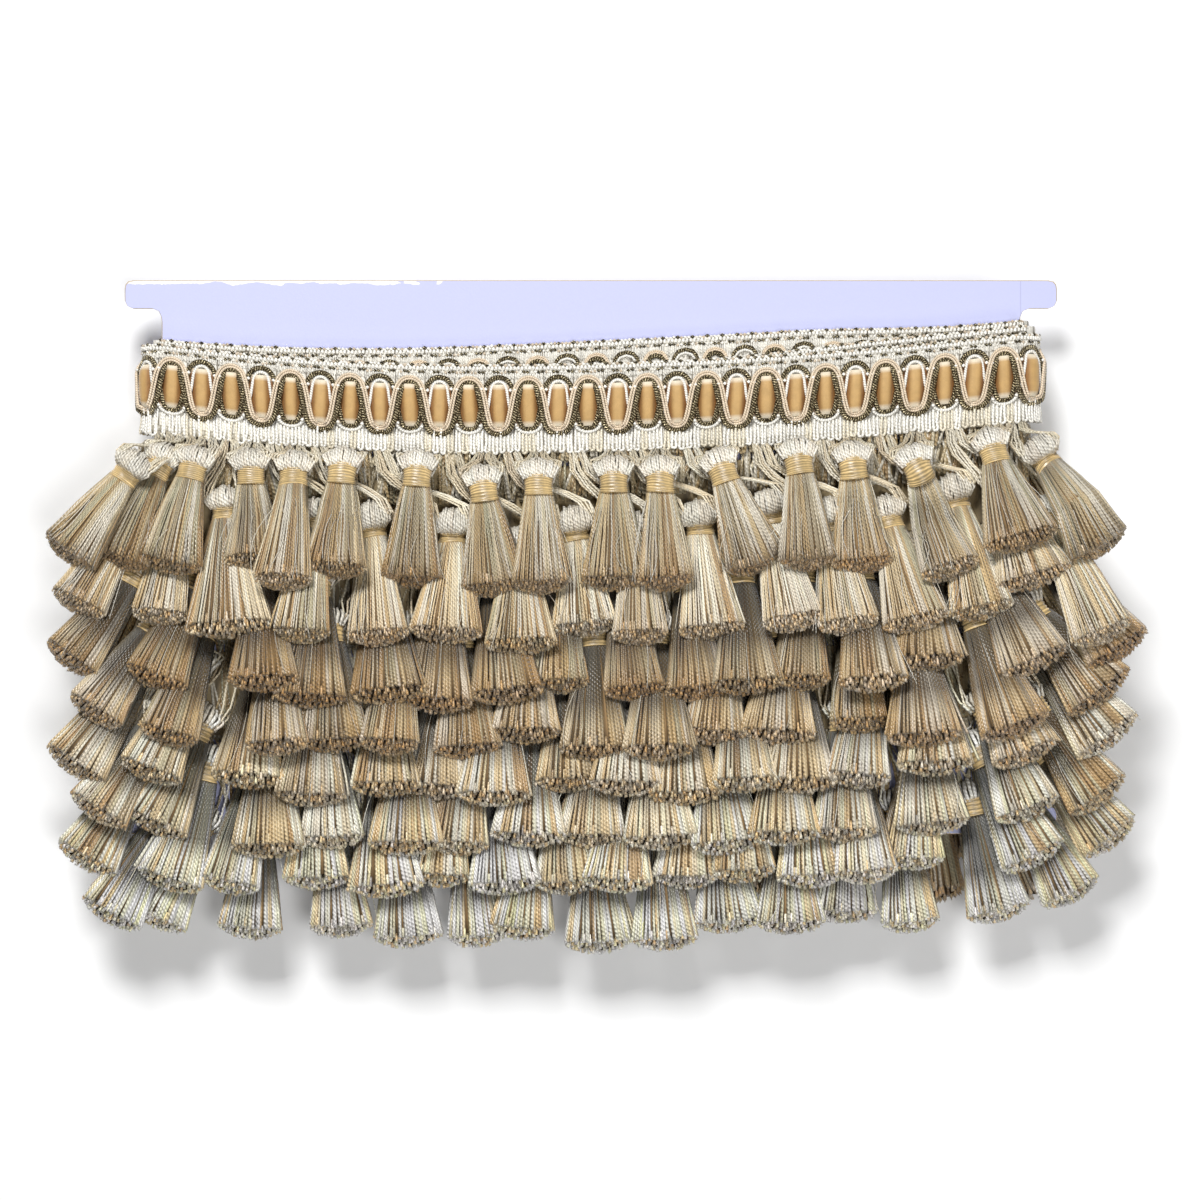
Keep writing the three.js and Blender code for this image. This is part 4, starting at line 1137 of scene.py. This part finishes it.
def loops(pieces, rng):
    """Weft loops that hang below the windows."""
    s = np.arange(OUTER_START + 2, END - 2, 2 * LOOP["width"])
    n = len(s)
    angle = np.linspace(math.pi, 2 * math.pi, 5)
    neck, half, heights = LOOP["neck"], LOOP["half"], LOOP["heights"]
    sideways = np.concatenate([[-neck] * 3, half * np.cos(angle), [neck] * 3])
    height = np.concatenate([heights[::-1], half * np.sin(angle), heights])
    start = LAST * TURN
    ragged = smooth((start + 45 - s) / 25) * smooth((s - start + 12) / 10)
    drop = 0.9 + rng.normal(0, 0.25, n) + ragged * rng.uniform(-0.5, 2.2, n)
    grow = 1 + ragged * rng.uniform(0, 0.7, n)
    along = s[:, None] + sideways * grow[:, None] + rng.normal(0, 0.14, (n, len(height)))
    hangs = np.clip(1 - height / heights[-1], 0, 1)
    up = height - drop[:, None] * hangs + 0.45
    out = OUTER_THICK + 0.45 + 0.5 * hangs + rng.normal(0, 0.16, (n, len(height)))
    paths = point_at(along, out, up)
    facing = outward(along)
    rings = tube_rings(paths, 0.46 + 0.18 * hangs, 0.42 + 0.1 * hangs, facing, 4)
    tint = np.where(rng.random(n)[:, None] < 0.8, PEARL, CREAM) * rng.uniform(0.9, 1.0, (n, 1))
    pieces.loft(rings, tint)


def cord_height(s, crest_at_even):
    """Height of a lattice cord over the middle of the windows, from -1 to 1, and how far it is to a crest."""
    period = 2 * PITCH
    centre = WINDOWS_FROM + (0 if crest_at_even else PITCH)
    sideways, height = np.array(CORD_WAVE).T
    total = 0.0
    for shift in (-0.7, -0.35, 0.0, 0.35, 0.7):
        off = np.abs((s + shift - centre + period / 2) % period - period / 2)
        total = total + np.interp(off, sideways, height) / 5
    return total, np.abs((s - centre + period / 2) % period - period / 2)


def lattice_lengths(start, end):
    """Lengths for sampling a cord: close together on its steep sides."""
    fine = np.arange(start, end, 0.25)
    height, _ = cord_height(fine, True)
    travel = np.hypot(np.diff(fine), LATTICE_SWING * np.diff(height))
    travelled = np.concatenate([[0], np.cumsum(travel)])
    return np.interp(np.arange(0, travelled[-1], 1.1), travelled, fine)


def lattice_cord(pieces, ends, crest_at_even, offsets, size, lift, tint):
    """One yarn of the lattice, offset to one side of its wave, and further at the windows' sides."""
    shift = 0 if crest_at_even else PITCH
    s = lattice_lengths(ends[0] + shift, ends[1] + shift) - shift
    height, off = cord_height(s, crest_at_even)
    offset = offsets[0] + offsets[1] * np.clip(1 - height**2, 0, 1)
    up = LATTICE_MIDDLE + LATTICE_SWING * height
    ds, du = np.gradient(s), np.gradient(up)
    step = np.hypot(ds, du)
    raised = smooth((off - 2.6) / 1.6) * smooth((8.4 - off) / 1.4)
    crossing = LATTICE["cross_over"] if crest_at_even else LATTICE["cross_under"]
    out = OUTER_THICK + mix(LATTICE["low"], crossing, raised) + lift
    paths = point_at(s - du / step * offset, out, up + ds / step * offset)
    facing = outward(s)
    rings = tube_rings(paths[None], *size, facing[None], 6)
    pieces.loft(rings, tint)


# The yarns of the two lattice waves: crest at even windows, offset upwards from the wave's middle and its
# change at the sides, half width, half thickness, lift, metallic.
LATTICE_YARNS = (
    (True, 1.15, 0.1, 0.44, 0.5, 0.05, False), (True, 0.3, 0.0, 0.44, 0.5, 0.05, False),
    (True, -0.95, -0.2, 1.05, 0.6, -0.1, True), (False, 1.0, -0.1, 0.95, 0.6, 0.0, True),
    (False, -0.45, -1.1, 0.56, 0.55, 0.1, False),
)


def lattice():
    """The scroll cords over the ribbon: a satin wave over a bronze one, and its mirror image in white."""
    built = {True: (Pieces(), Pieces()), False: (Pieces(), Pieces())}
    start, end = OUTER_START + 5, END - 3
    for even, offset, at_sides, across, through, lift, metallic in LATTICE_YARNS:
        tint = BRONZE if metallic else (TAN if even else PEARL)
        pieces = built[even][metallic]
        lattice_cord(pieces, (start, end), even, (offset, at_sides), (across, through), lift, tint)
        peeping_arcs(pieces, even, offset, across, tint)
    names = {True: ("scroll_satin", "scroll_bronze"), False: ("scroll_white", "scroll_dark")}
    for even, (satin, metal) in built.items():
        satin_piece = satin.build(names[even][0], [SATIN])
        metal_piece = metal.build(names[even][1], [METAL])
        if even:
            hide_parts("scroll_over")
        else:
            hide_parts("scroll_under")


def peeping_arcs(pieces, even, offset, across, tint):
    """The tops of the lattice on the earlier turn that peeps out above the outermost one."""
    turn = LAST - 2
    middles, is_even = window_middles(LAST * TURN + 8, LAST * TURN + RUN - 6)
    middles = middles[is_even == even] - (LAST - turn) * TURN + 3.0
    sideways = np.linspace(-4.4, 4.4, 9)
    height = np.interp(np.abs(sideways), *np.array(CORD_WAVE).T)
    up = LATTICE_MIDDLE + LATTICE_SWING * height + offset * 0.8
    s = middles[:, None] + sideways * (1 + 0.1 * offset)
    paths = point_at(s, GROUND_THICK + 0.55, up)
    rings = tube_rings(paths, across * 0.9, 0.32, UPWARD, 5)
    pieces.loft(rings, tint)


def ribbon():
    """The ribbon that puffs out in each window and is pressed flat between them, its sides darkened as
    painted shade.
    """
    middles, _ = window_middles(OUTER_START + 8, END - 4)
    pitch = PITCH
    s = np.arange(middles[0] - pitch / 2, middles[-1] + pitch / 2, pitch / 14)
    off = (s - middles[0] + pitch / 2) % pitch - pitch / 2
    number = np.clip(np.round((s - middles[0]) / pitch).astype(int), 0, len(middles) - 1)
    rng = np.random.default_rng(SEEDS["ribbon"])
    lean = rng.normal(0, 0.04, len(middles))[number][:, None]
    wide = rng.uniform(0.92, 1.06, len(middles))[number][:, None]
    v = np.array([-1.0, -0.97, -0.88, -0.72, -0.5, -0.25, 0.0, 0.25, 0.5, 0.72, 0.88, 0.97, 1.0])
    half = RIBBON["half_width"] * wide * (1 - 0.34 * np.abs(v) ** 4)
    u = (off[:, None] - lean * v * RIBBON["half_height"]) / half
    swell = np.sqrt(np.clip(1 - np.abs(u) ** 2.4, 0, 1)) * (1 - 0.78 * np.abs(v) ** 5)
    crumple = 0.12 * np.sin(3.1 * v + 7 * np.sin(number[:, None] * 1.7)) * swell
    out = mix(RIBBON["edge"], RIBBON["puff"], swell) + crumple
    up = WINDOW_MIDDLE - 0.3 + RIBBON["half_height"] * v + 0 * out
    front = np.stack([s[:, None] + 0 * out, out, up], -1)
    back = np.stack([s[:, None] + 0 * out, 0 * out + RIBBON["base"], up], -1)[:, ::-1]
    shape = np.concatenate([front, back], axis=1)
    rings = point_at(shape[..., 0], OUTER_THICK + shape[..., 1], shape[..., 2])
    # painted shade: each puff darkens to brown towards its sides
    side = smooth((np.abs(u) - 0.3) / 0.65)[..., None]
    ends = smooth((np.abs(v) - 0.7) / 0.24)[..., None] * (1 - 0.3 * side)
    tint = mix(mix(RIBBON_GOLD, RIBBON_SIDE_SHADE, side), RIBBON_END, ends)
    tint = np.concatenate([tint, tint[:, ::-1]], axis=1)
    pieces = Pieces()
    pieces.loft(rings[None], tint[None], along=s[None])
    piece = pieces.build("ribbon_puffs", [RIBBON_CLOTH])
    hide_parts("gimp_ribbon")


# The card


def card():
    """The flat card with its four ears, its corners and edges eased."""
    wide, tall, ear, low = CARD["half_width"], CARD["height"], CARD["ear"], CARD["ear_height"]
    tip = wide + ear
    quarter = [
        (tip - 3.0, 0.0), (tip - 1.2, -0.4), (tip - 0.3, -1.4), (tip, -3.0), (tip, -low + 2.4),
        (tip - 0.8, -low + 0.7), (tip - 2.6, -low), (wide + 3.6, -low), (wide + 1.2, -low - 1.0),
        (wide + 0.2, -low - 3.2), (wide, -low - 5.0), (wide, -tall / 2),
    ]
    top_right = np.array(quarter)
    low_right = np.array([(x, -tall - y) for x, y in quarter[-2::-1]])
    right = np.concatenate([top_right, low_right])
    outline = np.concatenate([right, right[::-1] * [-1, 1]])
    inward = outline * [1 - 0.3 / tip, 1 - 0.6 / tall] + [0, -0.3]
    half = CARD["thick"] / 2
    levels = ((inward, -half), (outline, -half + 0.3), (outline, half - 0.3), (inward, half))
    points = np.concatenate([np.column_stack([line, np.full(len(line), LEVEL + z)]) for line, z in levels])
    n = len(outline)
    faces = [tuple(range(n)), tuple(3 * n + i for i in reversed(range(n)))]
    for level in range(3):
        faces += [
            (level * n + i, (level + 1) * n + i, (level + 1) * n + (i + 1) % n, level * n + (i + 1) % n)
            for i in range(n)
        ]
    mesh = bpy.data.meshes.new("card_board")
    mesh.from_pydata(to_metres(points).tolist(), [], faces)
    mesh.polygons.foreach_set("material_index", [0, 0] + [1] * (len(faces) - 2))
    mesh.materials.append(CARD_PAPER)
    mesh.materials.append(CARD_CUT)
    mesh.update()
    piece = put_in_scene("card_board", mesh)
    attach(piece, BODY)
    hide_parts("winding_card")


# Materials


class Paint:
    """A procedural material, built socket by socket."""

    def __init__(self, name, roughness, sheen=0.0, metallic=0.0, specular=0.5):
        self.material = bpy.data.materials.new(name)
        self.material.use_nodes = True
        self.tree = self.material.node_tree
        self.shader = self.tree.nodes["Principled BSDF"]
        self.shader.inputs["Roughness"].default_value = roughness
        self.shader.inputs["Metallic"].default_value = metallic
        self.shader.inputs["Specular IOR Level"].default_value = specular
        self.shader.inputs["Sheen Weight"].default_value = sheen
        self.shader.inputs["Sheen Roughness"].default_value = 0.4

    def node(self, kind, inputs=(), **settings):
        made = self.tree.nodes.new(kind)
        for key, value in settings.items():
            setattr(made, key, value)
        for key, value in dict(inputs).items():
            if isinstance(value, bpy.types.NodeSocket):
                self.tree.links.new(value, made.inputs[key])
            else:
                made.inputs[key].default_value = value
        return made

    def maths(self, operation, a, b=0.0, c=0.0):
        return self.node("ShaderNodeMath", {0: a, 1: b, 2: c}, operation=operation).outputs[0]

    def times(self, a, b):
        return self.maths("MULTIPLY", a, b)

    def scaled(self, value, by, plus):
        return self.maths("MULTIPLY_ADD", value, by, plus)

    def uv(self):
        layer = self.node("ShaderNodeUVMap", uv_map="yarn").outputs[0]
        parts = self.node("ShaderNodeSeparateXYZ", {0: layer})
        return parts.outputs[0], parts.outputs[1]

    def tint(self):
        return self.node("ShaderNodeAttribute", attribute_name="tint").outputs["Color"]

    def noise(self, scale, detail=2.0):
        where = self.node("ShaderNodeTexCoord").outputs["Object"]
        inputs = {"Scale": scale, "Detail": detail, "Vector": where}
        return self.node("ShaderNodeTexNoise", inputs).outputs[0]

    def blend(self, kind, share, a, b):
        made = self.node("ShaderNodeMix", data_type="RGBA", blend_type=kind)
        for socket, value in ((made.inputs[0], share), (made.inputs[6], a), (made.inputs[7], b)):
            if isinstance(value, bpy.types.NodeSocket):
                self.tree.links.new(value, socket)
            elif np.ndim(value):
                socket.default_value = (*value, 1.0)
            else:
                socket.default_value = value
        return made.outputs[2]

    def grey(self, value):
        return self.node("ShaderNodeCombineColor", {0: value, 1: value, 2: value}).outputs[0]

    def colour(self, socket):
        self.tree.links.new(socket, self.shader.inputs["Base Color"])

    def bump(self, height, distance):
        made = self.node("ShaderNodeBump", {"Height": height, "Strength": 1.0, "Distance": distance})
        self.tree.links.new(made.outputs[0], self.shader.inputs["Normal"])

    def finish(self, colour, shade, height, distance):
        """Shades the colour, raises the bumps and gives the material."""
        self.colour(self.blend("MULTIPLY", 1.0, colour, self.grey(shade)))
        self.bump(height, distance)
        return self.material


def stripes(paint, phase):
    """A rounded wave from 0 to 1 for each whole step of phase."""
    sine = paint.maths("SINE", paint.times(phase, 2 * math.pi))
    return paint.scaled(sine, 0.5, 0.5)


def twisted(name, lay, depth, contrast, roughness, specular=0.5, grain=900.0):
    """Plied yarn: the plies run slantwise round each strand, one every lay millimetres; by contrast their
    colour is darker in the grooves and lighter on the crowns, as painted shade and highlight.
    """
    paint = Paint(name, roughness, 0.2, specular=specular)
    along, around = paint.uv()
    ply = stripes(paint, paint.maths("ADD", paint.times(along, 1 / lay), around))
    patches = paint.scaled(paint.noise(grain), 0.5, 0.75)
    # painted shade and highlight: the colour follows the ply bumps, by contrast
    shade = paint.times(paint.scaled(ply, contrast, 1.08 - contrast), patches)
    return paint.finish(paint.tint(), shade, ply, depth)


def core_material():
    paint = Paint("inner_yarn", 0.85)
    _, around = paint.uv()
    line = stripes(paint, paint.times(around, 30.0))
    shade = paint.scaled(line, 0.5, 0.6)
    return paint.finish(paint.tint(), shade, line, 0.0004)


def metal_material():
    """Metallic yarn: gold flecks on dark bronze."""
    paint = Paint("metallic_yarn", 0.35, metallic=0.55, specular=0.6)
    along, around = paint.uv()
    ply = stripes(paint, paint.maths("ADD", paint.times(along, 1 / 0.9), paint.times(around, 2)))
    fleck = paint.noise(2600.0, 1.0)
    bright = paint.scaled(fleck, 6.0, -2.6)
    level = paint.node("ShaderNodeClamp", {0: paint.times(bright, ply)}).outputs[0]
    dark = paint.blend("MULTIPLY", 1.0, paint.tint(), srgb(92, 84, 70))
    paint.colour(paint.blend("MIX", level, dark, srgb(244, 228, 184)))
    paint.bump(ply, 0.00035)
    return paint.material


def ground_material():
    paint = Paint("heading_weave", 0.6, 0.2)
    along, _ = paint.uv()
    rib = stripes(paint, paint.times(along, 1 / 0.45))
    patches = paint.scaled(paint.noise(900.0), 0.5, 0.72)
    # painted shade: the colour darkens in the grooves between the ribs
    shade = paint.times(paint.scaled(rib, 0.3, 0.8), patches)
    return paint.finish(paint.tint(), shade, rib, 0.0001)


def ribbon_material():
    """Brushed ribbon: a fine nap with soft blotches."""
    paint = Paint("puffed_ribbon", 0.6, 0.35)
    nap = paint.noise(5200.0, 3.0)
    blotch = paint.noise(420.0)
    shade = paint.maths("ADD", paint.scaled(nap, 0.3, 0.66), paint.times(blotch, 0.32))
    return paint.finish(paint.tint(), shade, nap, 0.0001)


def card_material():
    """Lavender board with a crease, its upper edge worn lighter at the left."""
    paint = Paint("card_paper", 0.75, specular=0.3)
    place_on = paint.node("ShaderNodeTexCoord").outputs["Object"]
    x, y, _ = paint.node("ShaderNodeSeparateXYZ", {0: place_on}).outputs
    top, middle = SHIFT[1] * MM, SHIFT[0] * MM
    rough = paint.noise(160.0, 4.0)
    below = paint.maths("SUBTRACT", top, y)
    torn = paint.maths("LESS_THAN", below, paint.scaled(rough, 0.004, -0.0008))
    left = paint.maths("LESS_THAN", x, paint.scaled(rough, 0.12, middle - 0.12))
    from_crease = paint.maths("ABSOLUTE", paint.maths("SUBTRACT", x, middle + CREASE["x"]))
    crease = paint.maths("LESS_THAN", from_crease, CREASE["half_width"])
    fibre = paint.noise(1500.0, 3.0)
    face = paint.blend("MIX", paint.times(torn, left), CARD_COLOUR, srgb(240, 238, 238))
    face = paint.blend("MIX", paint.times(crease, 0.35), face, srgb(150, 150, 190))
    shade = paint.scaled(fibre, 0.06, 0.96)
    return paint.finish(face, shade, fibre, 0.00005)


def card_cut_material():
    paint = Paint("card_cut_edge", 0.9, specular=0.2)
    layers = paint.noise(2000.0, 3.0)
    shade = paint.scaled(layers, 0.6, 0.6)
    return paint.finish(CARD_EDGE, shade, layers, 0.0001)


YARN = twisted("tassel_yarn", 1.6, 0.00018, 0.24, 0.32, specular=0.9)
BINDING = twisted("satin_binding", 0.8, 0.0001, 0.2, 0.34, specular=0.7)
THREAD = twisted("white_thread", 1.2, 0.00012, 0.25, 0.3, specular=0.7)
SATIN = twisted("satin_cord", 0.85, 0.0002, 0.34, 0.3, specular=0.7)
CORE = core_material()
METAL = metal_material()
GROUND = ground_material()
RIBBON_CLOTH = ribbon_material()
CARD_PAPER = card_material()
CARD_CUT = card_cut_material()
TASSEL_MATERIALS = (YARN, BINDING, CORE)

card()
heading_ground()
ribbon()
lattice()
bead_edges()
hidden_hanks()
tassel_pieces()

# Floor, light and camera

# Each light's name, place, what it points at, its side in metres and its power in watts
LIGHTS = (
    ("key", (-0.25, 0.85, 1.15), (0, -0.04, 0), 0.42, 19.5),
    ("overhead", (0.35, -0.3, 1.8), (0.05, -0.1, 0), 0.5, 10.5),
    ("front", (0.8, -1.1, 1.2), (0.1, -0.1, 0), 0.6, 7.0),
)
WORLD_LIGHT = 0.08
FLOOR_WHITE = 0.96


def area_light(name, location, target, size, energy):
    light = bpy.data.lights.new(name, "AREA")
    light.shape = "RECTANGLE"
    light.size = light.size_y = size
    light.energy = energy
    lamp = put_in_scene(name, light)
    lamp.location = location
    lamp.rotation_euler = (Vector(target) - Vector(location)).to_track_quat("-Z", "Y").to_euler()


def floor():
    size = 3.0
    mesh = bpy.data.meshes.new("floor")
    corners = [(-size, -size, 0), (size, -size, 0), (size, size, 0), (-size, size, 0)]
    mesh.from_pydata(corners, [], [(0, 1, 2, 3)])
    paint = Paint("floor_paper", 0.9, specular=0.2)
    paint.shader.inputs["Base Color"].default_value = (FLOOR_WHITE, FLOOR_WHITE, FLOOR_WHITE, 1.0)
    mesh.materials.append(paint.material)
    put_in_scene("floor", mesh)


def camera():
    """Straight above, framed as the photograph is, 414 mm wide."""
    view_width, lens, aim_height = 0.414, 110.0, 0.045
    middle = to_metres([3.2, -112.0, 0.0])
    data = bpy.data.cameras.new("camera")
    data.sensor_width = 36.0
    data.lens = lens
    data.clip_start, data.clip_end = 0.05, 10.0
    eye = put_in_scene("camera", data)
    eye.location = (middle[0], middle[1], aim_height + view_width * lens / data.sensor_width)
    bpy.context.scene.camera = eye


floor()
camera()
for light in LIGHTS:
    area_light(*light)
world = bpy.data.worlds.new("studio")
world.use_nodes = True
world.node_tree.nodes["Background"].inputs[0].default_value = (1.0, 1.0, 1.0, 1.0)
world.node_tree.nodes["Background"].inputs[1].default_value = WORLD_LIGHT
bpy.context.scene.world = world
bpy.context.scene.view_settings.view_transform = "Standard"
